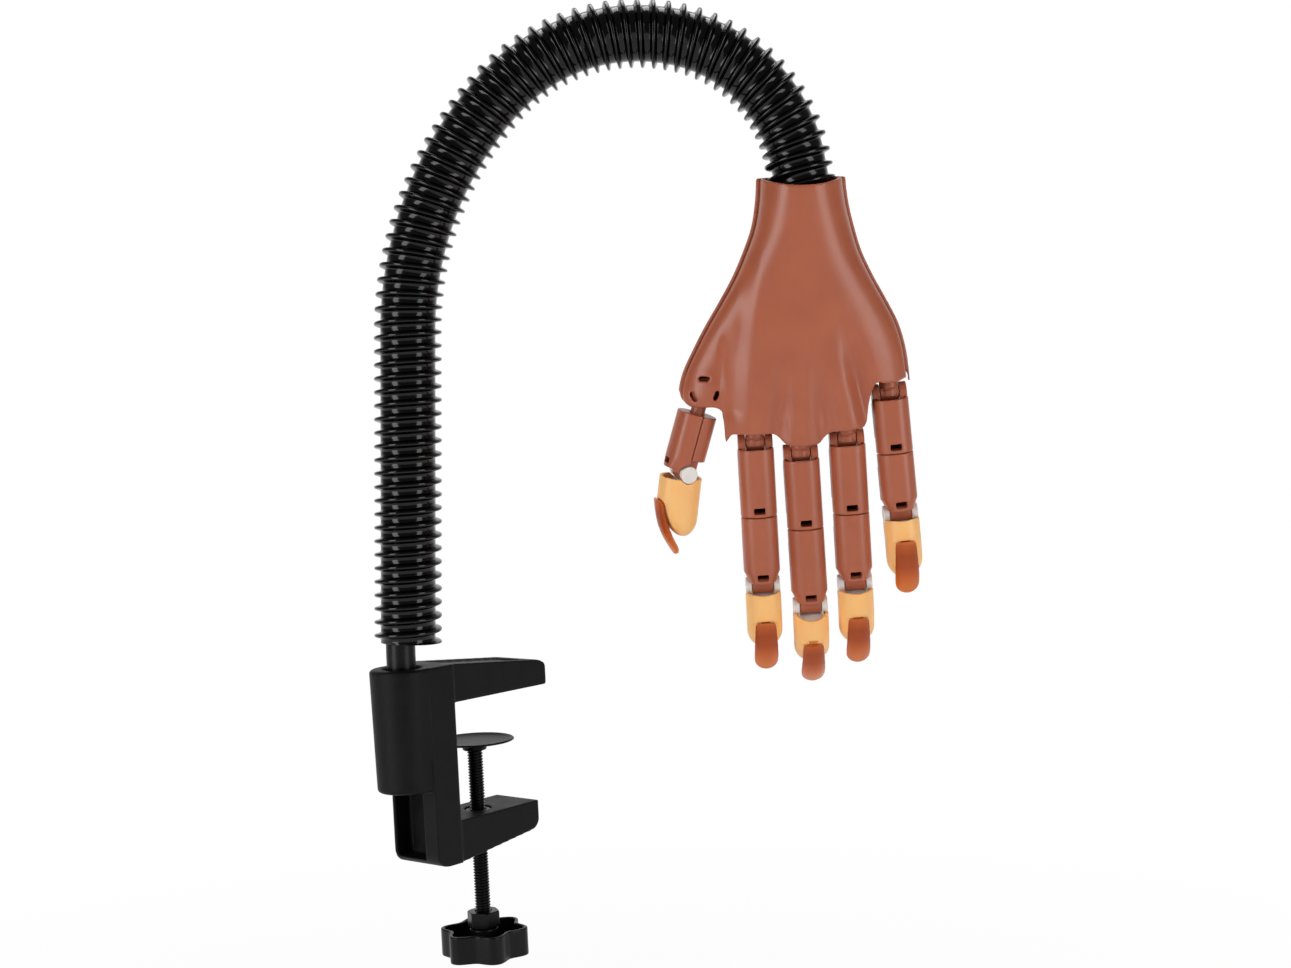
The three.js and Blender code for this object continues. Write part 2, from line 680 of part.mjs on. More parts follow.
// The lower edge steps along the knuckles, a set height above each hinge, and rounds the thumb's lobe.
// Both shells end alike at the little finger's side and by the thumb.
function handOutline(aboveHinge, stepBack) {
  const [index, middle, ring, little] = FINGERS;
  const edge = (finger) => finger.z + aboveHinge;
  const half = FINGER_HALF_WIDTH;
  const shape = new THREE.Shape();
  shape.moveTo(-SHELL_SIDE, SHELL_TOP);
  shape.lineTo(SHELL_SIDE, SHELL_TOP);
  const sideEnd = little.z + EDGE_ABOVE_HINGE;
  const sideX = little.x + half + 2 * GAP;
  shape.lineTo(SHELL_SIDE, sideEnd);
  shape.lineTo(sideX, sideEnd);
  shape.quadraticCurveTo(sideX, edge(little) + 1.5, little.x + half - 2, edge(little) + 1.5);
  shape.quadraticCurveTo(little.x, edge(little) - 1, little.x - half + 2, edge(little) + 1);
  const ringSide = ring.x + half + 0.6 - stepBack;
  shape.quadraticCurveTo(little.x - half - 1 - stepBack, edge(little), ringSide, edge(ring) + 6);
  shape.quadraticCurveTo(ringSide - 0.2, edge(ring) + 1, ringSide - 2.6, edge(ring) + 0.6);
  shape.lineTo(ring.x - half + 2, edge(ring) - 0.4);
  shape.quadraticCurveTo(ring.x - half - 1, edge(ring) - 1, middle.x + half, edge(middle) + 0.8);
  shape.quadraticCurveTo(middle.x + half - 1, edge(middle), middle.x + half - 3, edge(middle));
  shape.lineTo(middle.x - half + 3, edge(middle));
  shape.quadraticCurveTo(middle.x - half + 1, edge(middle), middle.x - half - 0.6, edge(middle) + 2);
  shape.quadraticCurveTo(middle.x - half - 3, edge(index), index.x + half - 2, edge(index));
  shape.lineTo(index.x - half - 2.4, edge(index));
  shape.lineTo(index.x - half - 5, edge(index) - (aboveHinge === EDGE_ABOVE_HINGE ? 3.6 : 0));
  shape.quadraticCurveTo(index.x - half - 5.4, edge(index) + 3, index.x - half - 6, edge(index) + 9);
  shape.quadraticCurveTo(THUMB_X + 6.5, THUMB_Z - LOBE_EDGE + 0.4, THUMB_X + 2, THUMB_Z - LOBE_EDGE + 0.2);
  shape.quadraticCurveTo(THUMB_X, THUMB_Z - LOBE_EDGE - 0.2, THUMB_X - 3.5, THUMB_Z - LOBE_EDGE);
  const lobeSide = THUMB_X - LOBE_SIDE;
  shape.quadraticCurveTo(lobeSide + 0.4, THUMB_Z - LOBE_EDGE, lobeSide, THUMB_Z - 0.5);
  shape.lineTo(-SHELL_SIDE, THUMB_Z - 0.5);
  shape.lineTo(-SHELL_SIDE, SHELL_TOP);
  return shape;
}

function lobeSlots() {
  const slots = [];
  for (const middle of LOBE_SLOT_PLACES) {
    const half = THREE.MathUtils.degToRad(LOBE_SLOT_SPAN / 2);
    const centre = THREE.MathUtils.degToRad(middle);
    const shape = new THREE.Shape();
    shape.absarc(THUMB_X, THUMB_Z, LOBE_SLOT_OUTER, centre - half, centre + half, false);
    shape.absarc(THUMB_X, THUMB_Z, LOBE_SLOT_INNER, centre + half, centre - half, true);
    slots.push(plate(shape, -30, -THUMB_EYE_HALF_HEIGHT - GAP, 3));
  }
  return slots;
}

// Stem of a finger's knuckle: a shank in the socket, and a head above it that keeps it in
function knuckleStem() {
  const bottom = EYE_RADIUS * 0.55;
  const shoulder = SOCKET_ABOVE_HINGE + SOCKET_HEIGHT + GAP;
  const top = shoulder + STEM_HEAD_HEIGHT;
  return turned([
    [0, bottom],
    [STEM_RADIUS, bottom],
    [STEM_RADIUS, shoulder],
    [STEM_HEAD_RADIUS, shoulder],
    [STEM_HEAD_RADIUS, top],
    [0, top],
  ], 12);
}

// The space that the stem turns in
function stemRoom() {
  const seat = SOCKET_ABOVE_HINGE + SOCKET_HEIGHT;
  const top = seat + STEM_HEAD_HEIGHT + 3 * GAP;
  const room = STEM_HEAD_RADIUS + 2 * GAP;
  const shank = STEM_RADIUS + GAP;
  return turned([[0, 0], [shank, 0], [shank, seat], [room, seat], [room, top], [0, top]], 12);
}

// The space that the ears of a finger's first segment turn in
function earRoom() {
  const end = KNUCKLE_EAR_OUTER + GAP;
  return rod('x', -end, end, HINGE_Y, 0, KNUCKLE_EAR_RADIUS + GAP, 12);
}

function atFinger(finger, body) {
  return body.rotate([0, -finger.splay, 0]).translate([finger.x, 0, finger.z]);
}

function socketBlocks() {
  return FINGERS.map((finger) => {
    const half = STEM_RADIUS + GAP + 1.8;
    const top = SOCKET_ABOVE_HINGE + SOCKET_HEIGHT;
    return atFinger(finger, box(-half, half, -20, 20, SOCKET_ABOVE_HINGE, top));
  });
}

function screwBosses() {
  return SHELL_SCREW_PLACES.map(([x, z]) => rod('y', -25, 25, x, z, SHELL_BOSS_RADIUS, 10));
}

// The lobe is solid round the space that the thumb's knuckle swings in, so its slots are blind
function lobeBlock() {
  return rod('y', -25, 25, THUMB_X, THUMB_Z, LOBE_BLOCK_RADIUS, 14);
}

function thumbRoom() {
  const half = THUMB_EYE_HALF_HEIGHT + GAP;
  const post = rod('y', -half, half, 0, 0, THUMB_PIVOT_RADIUS, 10);
  const eyeRoom = cut(rod('y', -half, half, 0, 0, THUMB_EYE_RADIUS + 2 * GAP, 14), post);
  const [inward, outward] = THUMB_SWING;
  const stems = [0, 0.25, 0.5, 0.75, 1].map((share) => {
    const angle = THUMB_LEAN + THREE.MathUtils.lerp(inward, outward, share);
    const shaft = rod('z', -30, -THUMB_EYE_RADIUS + 1, 0, 0, THUMB_STEM_RADIUS + 2 * GAP, 8);
    return shaft.rotate([0, angle, 0]);
  });
  return join(eyeRoom, ...stems).translate([THUMB_X, 0, THUMB_Z]);
}

function wristAxis() {
  const marks = armMarks();
  const length = marks[5] - SLEEVE_IN_WRIST;
  const { heading } = armPlace(length);
  const centre = corePoint(length);
  return { centre, heading };
}

const HAND_ROTATION = new THREE.Euler(
  THREE.MathUtils.degToRad(HAND_TILT),
  THREE.MathUtils.degToRad(HAND_LEAN),
  0,
);

// Turns a piece built along -Z, as the arm's end runs, into the hand's own frame
function alongWrist(body) {
  const { heading } = wristAxis();
  const inArm = new THREE.Quaternion().setFromAxisAngle(new THREE.Vector3(0, 1, 0), -(heading + Math.PI / 2));
  const hand = new THREE.Quaternion().setFromEuler(HAND_ROTATION).invert();
  const turn = new THREE.Euler().setFromQuaternion(hand.multiply(inArm), 'XYZ');
  const geometry = geometryOf(body);
  geometry.applyMatrix4(new THREE.Matrix4().makeRotationFromEuler(turn));
  return solid(geometry);
}

function wristBulkhead() {
  const slab = alongWrist(box(-40, 40, -40, 40, -BULKHEAD_START - BULKHEAD_HEIGHT, -BULKHEAD_START));
  const inner = handLoft(SHELL_WALL + GAP, PALM_RIM, INNER_POINTS, 0);
  const bore = alongWrist(rod('z', -60, 20, 0, 0, CORE_RADIUS + GAP, 14));
  return cut(slab.intersect(inner), bore);
}

function endCollar() {
  const top = -BULKHEAD_START - BULKHEAD_HEIGHT - GAP;
  const body = rod('z', top - COLLAR_HEIGHT, top, 0, 0, COLLAR_RADIUS, 20);
  return cut(body, rod('z', -60, 0, 0, 0, CORE_RADIUS + GAP, 20));
}

function handShell(side) {
  const isBack = side === 'back';
  const outer = handLoft(0, isBack ? PALM_RIM : 0, SHELL_POINTS, 0);
  const inner = handLoft(SHELL_WALL, isBack ? PALM_RIM : 0, INNER_POINTS, 1);
  const inside = handLoft(0.4, PALM_RIM, INNER_POINTS, 0);
  const extras = join(...socketBlocks(), ...screwBosses(), lobeBlock()).intersect(inside);
  let shell = join(cut(outer, inner), extras);
  const sockets = FINGERS.map((finger) => atFinger(finger, join(stemRoom(), earRoom())));
  const holeRadius = SHELL_SCREW_RADIUS + GAP;
  const screwHoles = SHELL_SCREW_PLACES.map(([x, z]) => rod('y', -8, 30, x, z, holeRadius, 8));
  shell = cut(shell, ...sockets, ...screwHoles, thumbRoom());
  const backOutline = handOutline(EDGE_ABOVE_HINGE, 0);
  const palmOutline = handOutline(PALM_EDGE_ABOVE_HINGE, PALM_STEP_BACK);
  shell = shell.intersect(plate(isBack ? backOutline : palmOutline, -30, 30, 4));
  if (isBack) {
    const dip = rod('y', -30, 0, 0, WRIST_DIP * 22, WRIST_DIP * 23, 30);
    return cut(shell, box(-80, 80, -GAP / 2, 40, -140, 40), ...lobeSlots(), dip);
  }
  const headRadius = SHELL_SCREW_HEAD + GAP;
  const heads = SHELL_SCREW_PLACES.map(([x, z]) => rod('y', SHELL_SCREW_SEAT, 30, x, z, headRadius, 12));
  return cut(shell, box(-80, 80, -40, GAP / 2, -140, 40), ...heads);
}

function shellScrew([x, z]) {
  const seat = SHELL_SCREW_SEAT + GAP;
  const shank = rod('y', seat - SHELL_SCREW_LENGTH, seat + 0.5, x, z, SHELL_SCREW_RADIUS, 8);
  return join(shank, rod('y', seat, seat + 1.8, x, z, SHELL_SCREW_HEAD, 12));
}

// Fingers

function segmentRing(z, halfWidth, inset = 0) {
  const depth = FINGER_HALF_DEPTH - inset;
  return ovalRing(z, -halfWidth + inset, halfWidth - inset, -depth, depth, FINGER_POWER, 16);
}

function prism(top, bottom, inset = 0) {
  return loft([segmentRing(bottom, FINGER_HALF_WIDTH, inset), segmentRing(top, FINGER_HALF_WIDTH, inset)]);
}

const PARTING = GAP / 2; // half the gap between a cover and the body that it closes

function palmHalf(top, bottom) {
  return prism(top, bottom).intersect(box(-20, 20, PARTING, 20, bottom - 1, top + 1));
}

// A pair of ears on one hinge: plates with round ends, and pegs that reach into the eye between them
function ears(z, inner, outer, radius, reach) {
  const parts = [];
  for (const side of [-1, 1]) {
    const from = Math.min(side * inner, side * outer);
    const to = Math.max(side * inner, side * outer);
    parts.push(rod('x', from, to, HINGE_Y, z, radius, 12));
    parts.push(box(from, to, HINGE_Y - radius, HINGE_Y + radius, z - reach, z));
    const pegEnd = side * 0.4;
    const pegStart = side * (inner + 0.5);
    parts.push(rod('x', Math.min(pegEnd, pegStart), Math.max(pegEnd, pegStart), HINGE_Y, z, PIN_RADIUS, 8));
  }
  return join(...parts);
}

function eye(z, halfWidth, radius, reach) {
  const barrel = rod('x', -halfWidth, halfWidth, HINGE_Y, z, radius, 12);
  const web = box(-halfWidth, halfWidth, HINGE_Y - radius, HINGE_Y + radius, z, z + reach);
  return cut(join(barrel, web), eyeHole(z));
}

function eyeHole(z) {
  return rod('x', -10, 10, HINGE_Y, z, PIN_RADIUS + GAP, 8);
}

function knuckle() {
  const barrel = rod('x', -EYE_HALF_WIDTH, EYE_HALF_WIDTH, HINGE_Y, 0, EYE_RADIUS, 14);
  return cut(join(barrel, knuckleStem()), eyeHole(0));
}

function firstBody(length) {
  const main = palmHalf(-EYE_RADIUS - 2 * GAP, -length + BODY_END);
  const top = ears(0, EYE_HALF_WIDTH + GAP, KNUCKLE_EAR_OUTER, KNUCKLE_EAR_RADIUS, BODY_END + 1);
  const section = prism(KNUCKLE_EAR_RADIUS + 1, -length);
  const rebate = box(-20, 20, -20, PARTING, -length, -COVER_BELOW_KNUCKLE + GAP);
  const tongue = eye(-length, TONGUE_HALF_WIDTH, EYE_RADIUS, BODY_END + 1);
  return join(main, cut(top.intersect(section), rebate), tongue);
}

function secondBody(length) {
  const main = palmHalf(-BODY_END, -length + BODY_END);
  const inner = TONGUE_HALF_WIDTH + GAP;
  const top = ears(0, inner, inner + MIDDLE_EAR_WIDTH, MIDDLE_EAR_RADIUS, BODY_END + 1);
  const tongue = eye(-length, TONGUE_HALF_WIDTH, TIP_EAR_RADIUS, BODY_END + 1);
  return join(main, top, tongue);
}

function coverWindow(end) {
  const bottom = end + WINDOW_ABOVE_END;
  return box(-WINDOW_WIDTH / 2, WINDOW_WIDTH / 2, -20, -3, bottom, bottom + WINDOW_HEIGHT);
}

function backHalf(body, top, bottom) {
  return body.intersect(box(-20, 20, -20, -PARTING, bottom - 1, top + 1));
}

function firstCover(length) {
  const top = -COVER_BELOW_KNUCKLE;
  const bottom = -length + PARTING;
  const shell = cut(prism(top, bottom), prism(top + 1, bottom - 1, COVER_WALL));
  return cut(backHalf(shell, top, bottom), coverWindow(bottom));
}

function secondCover(length) {
  const top = -PARTING;
  const bottom = -length + COVER_ABOVE_TIP;
  const shoulder = bottom + COVER_SHOULDER;
  const rings = (inset, extra) => [
    segmentRing(bottom - extra, COVER_NOSE_HALF_WIDTH, inset),
    segmentRing(shoulder - 1, FINGER_HALF_WIDTH - 0.5, inset),
    segmentRing(shoulder, FINGER_HALF_WIDTH, inset),
    segmentRing(top + extra, FINGER_HALF_WIDTH, inset),
  ];
  const shell = cut(loft(rings(0, 0)), loft(rings(COVER_WALL, 1)));
  const earRoom = rod('x', -20, 20, HINGE_Y, -length, TIP_EAR_RADIUS + 2 * GAP, 14);
  return cut(backHalf(shell, top, bottom), coverWindow(bottom), earRoom);
}

// Outline of the pocket in a cap, and of the insert that fills it, at an inset from the cap's own
function pocketRing(z, inset) {
  const halfWidth = CAP_HALF_WIDTH - inset;
  const halfDepth = CAP_HALF_DEPTH - inset;
  return ovalRing(z, -halfWidth, halfWidth, -halfDepth, halfDepth, FINGER_POWER, 12);
}

function tipInsert() {
  const inner = TONGUE_HALF_WIDTH + GAP;
  const inset = CAP_WALL + GAP;
  const blockTop = -TIP_EAR_RADIUS - 2 * GAP;
  const blockBottom = -CAP_TOP - CAP_POCKET + GAP;
  const block = loft([pocketRing(blockBottom, inset), pocketRing(blockTop, inset)]);
  const lugs = ears(0, inner, inner + TIP_EAR_WIDTH, TIP_EAR_RADIUS, 0.5);
  const neck = CAP_HALF_WIDTH - CAP_WALL - 2 * GAP;
  const half = 0.5 * TIP_EAR_RADIUS;
  const necks = [-1, 1].map((side) => {
    const from = Math.min(side * inner, side * neck);
    const to = Math.max(side * inner, side * neck);
    return box(from, to, HINGE_Y - half, HINGE_Y + half, blockTop - 1, -0.5);
  });
  return join(block, lugs, ...necks);
}

// The cap's back slopes from where the nail begins, to make its bed
function capRing(depth, share, nailTop) {
  const slope = THREE.MathUtils.clamp((depth - nailTop) / (CAP_LENGTH - nailTop), 0, 1);
  const back = THREE.MathUtils.lerp(CAP_HALF_DEPTH, CAP_END_DEPTH, slope);
  const middle = (CAP_HALF_DEPTH - back) / 2;
  const half = ((CAP_HALF_DEPTH + back) / 2) * share;
  const width = CAP_HALF_WIDTH * share;
  return ovalRing(-CAP_TOP - depth, -width, width, middle - half, middle + half, FINGER_POWER, 14);
}

function tipCap(nailTop) {
  const depths = [0, nailTop, CAP_STRAIGHT, 21.5, 24.3, CAP_LENGTH];
  const rings = depths.map((depth) => {
    const end = THREE.MathUtils.clamp((depth - CAP_STRAIGHT) / (CAP_LENGTH - CAP_STRAIGHT), 0, 1);
    return capRing(depth, Math.sqrt(1 - 0.88 * end * end), nailTop);
  });
  const outer = loft(rings.reverse());
  const pocket = loft([pocketRing(-CAP_TOP - CAP_POCKET, CAP_WALL), pocketRing(0, CAP_WALL)]);
  const earNotch = rod('x', -20, 20, HINGE_Y, 0, TIP_EAR_RADIUS + GAP, 12);
  return cut(outer, pocket, earNotch, nail(nailTop, GAP));
}

// Nail: an arched plate, lofted from its root to its free end. A clearance makes the cap's seat for it.
function nail(nailTop, clearance) {
  const stations = [[0, 0.76], [0.08, 1], [0.45, 1], [0.82, 0.97], [0.94, 0.72], [1, 0.3]];
  const rings = stations.map(([along, width]) => nailRing(nailTop, along, width, clearance));
  const half = NAIL_TAB_WIDTH / 2 + clearance;
  const root = nailCentre(nailTop, 0);
  const front = root.y + NAIL_THICKNESS / 2;
  const back = front + NAIL_TAB_LENGTH + clearance;
  const bottom = root.z - NAIL_TAB_THICKNESS - clearance;
  return join(loft(rings), box(-half, half, front, back, bottom, root.z + clearance));
}

// Crown of the nail: it starts proud of the cap and slopes down to the finger's front, with a bow
function nailCentre(nailTop, along) {
  const slope = THREE.MathUtils.degToRad(NAIL_SLOPE);
  const run = NAIL_LENGTH * along;
  const bow = NAIL_BOW * Math.sin(Math.PI * along);
  const y = -CAP_HALF_DEPTH - NAIL_PROUD + run * Math.sin(slope) - bow * Math.cos(slope);
  return { y, z: -CAP_TOP - nailTop - run * Math.cos(slope) - bow * Math.sin(slope) };
}

function nailRing(nailTop, along, width, clearance) {
  const { y, z } = nailCentre(nailTop, along);
  const outer = NAIL_CURVE + clearance;
  const inner = NAIL_CURVE - NAIL_THICKNESS - clearance;
  const reach = Math.asin(Math.min(0.95, (NAIL_HALF_WIDTH * width + clearance) / NAIL_CURVE));
  const height = z - clearance * Math.sign(along - 0.5);
  const count = 4;
  const arc = (radius) => {
    const points = [];
    for (let i = 0; i <= count; i += 1) {
      const angle = -reach + (2 * reach * i) / count;
      points.push([radius * Math.sin(angle), y + NAIL_CURVE - radius * Math.cos(angle), height]);
    }
    return points;
  };
  return [...arc(outer), ...arc(inner).reverse()];
}

function tipGroup(name, z, flex, nailTop) {
  const tip = new THREE.Group();
  tip.position.set(0, HINGE_Y, z);
  tip.rotation.x = THREE.MathUtils.degToRad(flex);
  const pieces = new THREE.Group();
  pieces.position.set(0, -HINGE_Y, 0);
  pieces.add(piece(`${name}_tip_insert`, tipInsert(), INSERT_WHITE));
  pieces.add(piece(`${name}_tip_cap`, tipCap(nailTop), TIP_PEACH));
  pieces.add(piece(`${name}_nail`, nail(nailTop, 0), NAIL_BROWN));
  tip.add(pieces);
  return tip;
}

function fingerGroup(finger) {
  const group = new THREE.Group();
  group.position.set(finger.x, 0, finger.z);
  group.rotation.y = -THREE.MathUtils.degToRad(finger.splay);
  group.add(piece(`${finger.name}_knuckle`, knuckle(), SKIN_BROWN));
  group.add(piece(`${finger.name}_first_body`, firstBody(finger.first), SKIN_BROWN));
  group.add(piece(`${finger.name}_first_cover`, firstCover(finger.first), SKIN_BROWN));
  const second = new THREE.Group();
  second.position.set(0, 0, -finger.first);
  second.add(piece(`${finger.name}_second_body`, secondBody(finger.second), SKIN_BROWN));
  second.add(piece(`${finger.name}_second_cover`, secondCover(finger.second), SKIN_BROWN));
  second.add(tipGroup(finger.name, -finger.second, finger.tip, finger.nailTop));
  group.add(second);
  return group;
}

// Thumb: its knuckle swings on the pivot in the hand's lobe, and the thumb turns about the knuckle's stem

function thumbStem(clearance) {
  const radius = THUMB_STEM_RADIUS + clearance;
  const head = THUMB_STEM_RADIUS + 1.2 + clearance;
  const end = -THUMB_STEM_END - clearance;
  const shoulder = -THUMB_STEM_END + 3 + clearance;
  return turned([[0, end], [head, end], [head, shoulder], [radius, shoulder], [radius, -3], [0, -3]], 12);
}

function thumbKnuckle() {
  const disc = rod('y', -THUMB_EYE_HALF_HEIGHT, THUMB_EYE_HALF_HEIGHT, 0, 0, THUMB_EYE_RADIUS, 14);
  const hole = rod('y', -10, 10, 0, 0, THUMB_PIVOT_RADIUS + GAP, 10);
  return cut(join(disc, thumbStem(0)), hole);
}

function thumbBody() {
  const main = palmHalf(-THUMB_SEGMENT_TOP, -THUMB_LENGTH + BODY_END);
  const tongue = eye(-THUMB_LENGTH, TONGUE_HALF_WIDTH, TIP_EAR_RADIUS, BODY_END + 1);
  return cut(join(main, tongue), thumbStem(GAP));
}

function thumbCover() {
  const top = -THUMB_SEGMENT_TOP;
  const bottom = -THUMB_LENGTH + THUMB_COVER_ABOVE_TIP;
  const shoulder = bottom + COVER_SHOULDER;
  const rings = (inset, start, end) => [
    segmentRing(end, COVER_NOSE_HALF_WIDTH, inset),
    segmentRing(shoulder, FINGER_HALF_WIDTH, inset),
    segmentRing(start, FINGER_HALF_WIDTH, inset),
  ];
  const endWall = 1.8;
  const shell = cut(loft(rings(0, top, bottom)), loft(rings(COVER_WALL, top - endWall, bottom - 1)));
  const earRoom = rod('x', -20, 20, HINGE_Y, -THUMB_LENGTH, TIP_EAR_RADIUS + 2 * GAP, 14);
  return cut(backHalf(shell, top, bottom), coverWindow(bottom), earRoom, thumbStem(GAP));
}

function thumbGroup() {
  const group = new THREE.Group();
  group.position.set(THUMB_X, 0, THUMB_Z);
  group.rotation.y = THREE.MathUtils.degToRad(THUMB_LEAN);
  group.add(piece('thumb_knuckle', thumbKnuckle(), SKIN_BROWN));
  const segment = new THREE.Group();
  segment.rotation.z = THREE.MathUtils.degToRad(THUMB_TWIST);
  segment.add(piece('thumb_body', thumbBody(), SKIN_BROWN));
  segment.add(piece('thumb_cover', thumbCover(), SKIN_BROWN));
  segment.add(tipGroup('thumb', -THUMB_LENGTH, THUMB_TIP_FLEX, THUMB_NAIL_TOP));
  group.add(segment);
  return group;
}

// Assembly

function clampGroup() {
  const group = new THREE.Group();
  group.add(piece('clamp_body', clampBody(), CLAMP_BLACK));
  group.add(piece('thread_insert', threadInsert(), BLACKED_STEEL));
  group.add(piece('pressure_pad', pressurePad(), BRIGHT_STEEL));
  group.add(piece('clamp_screw', clampScrew(), BLACKED_STEEL));
  group.add(piece('jam_nut', jamNut(), BLACKED_STEEL));
  group.add(piece('star_knob', starKnob(), KNOB_BLACK));
  return group;
}

function handGroup() {
  const { centre } = wristAxis();
  const hand = new THREE.Group();
  hand.position.copy(centre);
  hand.rotation.copy(HAND_ROTATION);
  hand.add(piece('back_shell', handShell('back'), SKIN_BROWN));
  hand.add(piece('palm_shell', handShell('palm'), SKIN_BROWN));
  hand.add(piece('wrist_bulkhead', wristBulkhead(), SKIN_BROWN));
  hand.add(piece('end_collar', alongWrist(endCollar()), BRIGHT_STEEL));
  SHELL_SCREW_PLACES.forEach((place, i) => {
    hand.add(piece(`shell_screw_${i + 1}`, shellScrew(place), BRIGHT_STEEL));
  });
  for (const finger of FINGERS) hand.add(fingerGroup(finger));
  hand.add(thumbGroup());
  return hand;
}

const arm = new THREE.Group();
arm.position.set(BOSS_X, 0, 0);
arm.rotation.z = THREE.MathUtils.degToRad(ARM_TURN);
arm.add(...coreParts());
arm.add(...sleeveParts());
arm.add(handGroup());

const group = new THREE.Group();
group.add(clampGroup());
group.add(arm);

export default group;
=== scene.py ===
"""Nail practice hand: a brown jointed plastic hand with peach fingertips and brown nails.
It hangs from a black ribbed flexible arm on a table clamp.
The sizes are millimetres until a piece is placed."""
import math

import bmesh
import bpy
from mathutils import Matrix, Vector


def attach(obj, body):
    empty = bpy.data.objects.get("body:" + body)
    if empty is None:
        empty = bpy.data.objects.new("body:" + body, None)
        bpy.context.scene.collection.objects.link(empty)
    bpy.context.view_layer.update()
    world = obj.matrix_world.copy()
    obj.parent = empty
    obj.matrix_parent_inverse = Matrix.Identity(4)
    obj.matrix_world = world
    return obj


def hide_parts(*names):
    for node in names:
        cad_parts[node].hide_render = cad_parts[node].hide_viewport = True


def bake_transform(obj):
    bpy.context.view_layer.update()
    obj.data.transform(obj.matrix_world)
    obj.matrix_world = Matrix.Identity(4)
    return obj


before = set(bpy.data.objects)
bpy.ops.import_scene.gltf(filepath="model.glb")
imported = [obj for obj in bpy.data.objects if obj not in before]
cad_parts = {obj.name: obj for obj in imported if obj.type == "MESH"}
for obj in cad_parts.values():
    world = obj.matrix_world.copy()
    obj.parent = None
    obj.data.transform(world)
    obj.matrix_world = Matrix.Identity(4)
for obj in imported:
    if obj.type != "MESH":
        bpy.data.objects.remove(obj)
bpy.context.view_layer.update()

MM = 0.001

# Sizes of the part, in millimetres

GAP = 0.3

UPPER_JAW_ROOT = 16.4
UPPER_JAW_TIP = 11.6
UPPER_JAW_REACH = 37
JAW_TIP_CHAMFER = 3.5
LOWER_JAW_ROOT = 17.7
LOWER_JAW_TIP = 12
LOWER_JAW_REACH = 25
JAW_OPENING = 50
CLAMP_BOTTOM = -JAW_OPENING - LOWER_JAW_ROOT
SPINE_INNER_X = -23
SPINE_BACK_X = -37.3
SPINE_HALF = 13.5
JAW_HALF = 12.7
JAW_PANEL_HALF = 9.2
BOSS_X = -40
BOSS_RADIUS = 13.5
BOSS_DRAFT = 0.9
BOSS_LENGTH = 51.4

SCREW_RADIUS = 3.4
SCREW_TOP = -22.4
THREAD_PITCH = 1.25
THREAD_DEPTH = 0.6
PAD_RADIUS = 17.2
PAD_TOP = -20
NUT_TOP = -95
NUT_HEIGHT = 7
NUT_ACROSS_FLATS = 12.5
INSERT_RADIUS = 5.6
INSERT_HOLE_RADIUS = 5.9
KNOB_TOP = NUT_TOP - NUT_HEIGHT - GAP
KNOB_HEIGHT = 12
KNOB_RADIUS = 17.3
KNOB_LOBES = 6
KNOB_LOBE_HEIGHT = 2
KNOB_WALL = 1.7
KNOB_FLOOR = 2.4
KNOB_HUB_RADIUS = 6.2
BORE_DEPTH = 40.7

ARM_TURN = -50
ARM_LEAN = 87
ARM_STRAIGHT = 129.5
ARM_BENDS = [(42, 144), (62, 78), (65, 63.5)]
ARM_END_STRAIGHT = 12
CORE_RADIUS = 6.1
SLEEVE_CREST = 14
SLEEVE_ROOT = 11.35
SLEEVE_BORE = 9.8
SLEEVE_OFFSET = SLEEVE_BORE - CORE_RADIUS - GAP
SLEEVE_START_Z = 27
SLEEVE_IN_WRIST = 5
RIB_PITCH = 5.6

HAND_TILT = 8
HAND_LEAN = 1.3
FINGERS = {
    "index": dict(x=-20.6, z=-110.1, splay=2.2, first=31.3, second=30.8, flex=3, nail_top=12),
    "middle": dict(x=-1.4, z=-115.2, splay=3, first=31.9, second=34.4, flex=15, nail_top=12.2),
    "ring": dict(x=18.1, z=-109.4, splay=2.9, first=31.6, second=31, flex=6, nail_top=11),
    "little": dict(x=36.1, z=-90.3, splay=5.2, first=25.3, second=26.8, flex=-3, nail_top=9),
}
HALF_WIDTH = 7.75
HALF_DEPTH = 8.2
SEGMENT_POWER = 2.4
HINGE_Y = 1
COVER_WALL = 1.4
BODY_END = 6.2
SECOND_EAR_WIDTH = 1.35
SECOND_EAR_RADIUS = 3
PIN_RADIUS = 1.5
KNUCKLE_EYE_HALF = 3.9
EYE_RADIUS = 3.6
KNUCKLE_EAR_RADIUS = 4
KNUCKLE_EAR_OUTER = 7.3
COVER_BELOW_KNUCKLE = 2.3
TONGUE_HALF = 4.4
TIP_EAR_RADIUS = 3.65
TIP_EAR_WIDTH = 2.6
COVER_ABOVE_TIP = 2.1
COVER_NOSE_HALF = 5.9
COVER_SHOULDER = 4.7
WINDOW_HALF = 2.4
WINDOW_HEIGHT = 2.6
WINDOW_ABOVE_END = 1.45
EDGE_ABOVE_HINGE = 4.7
PALM_EDGE_ABOVE_HINGE = 7.8
PALM_STEP_BACK = 2
CAP_HALF_WIDTH = 7.6
CAP_HALF_DEPTH = 8.9
CAP_TOP = 2.1
CAP_LENGTH = 25.6
CAP_WALL = 1.4
CAP_POCKET = 8
CAP_STRAIGHT = 17.5
CAP_END_DEPTH = 2.4
CAP_END_TAPER = 0.88
DIP_RADIUS = 14
DIP_DEPTH = 0.35
MIDDLE_DIP_DEPTH = 1
NAIL_LENGTH = 26.5
NAIL_SLOPE = 26
NAIL_PROUD = 1.8
NAIL_BOW = 2.2
NAIL_HALF_WIDTH = 5.25
NAIL_CURVE = 6.2
NAIL_THICKNESS = 1.4
THUMB_X = -41.8
THUMB_Z = -86.9
THUMB_LEAN = 16.3
THUMB_TWIST = -70
THUMB_LENGTH = 36.1
THUMB_FLEX = 9
THUMB_NAIL_TOP = 10.3
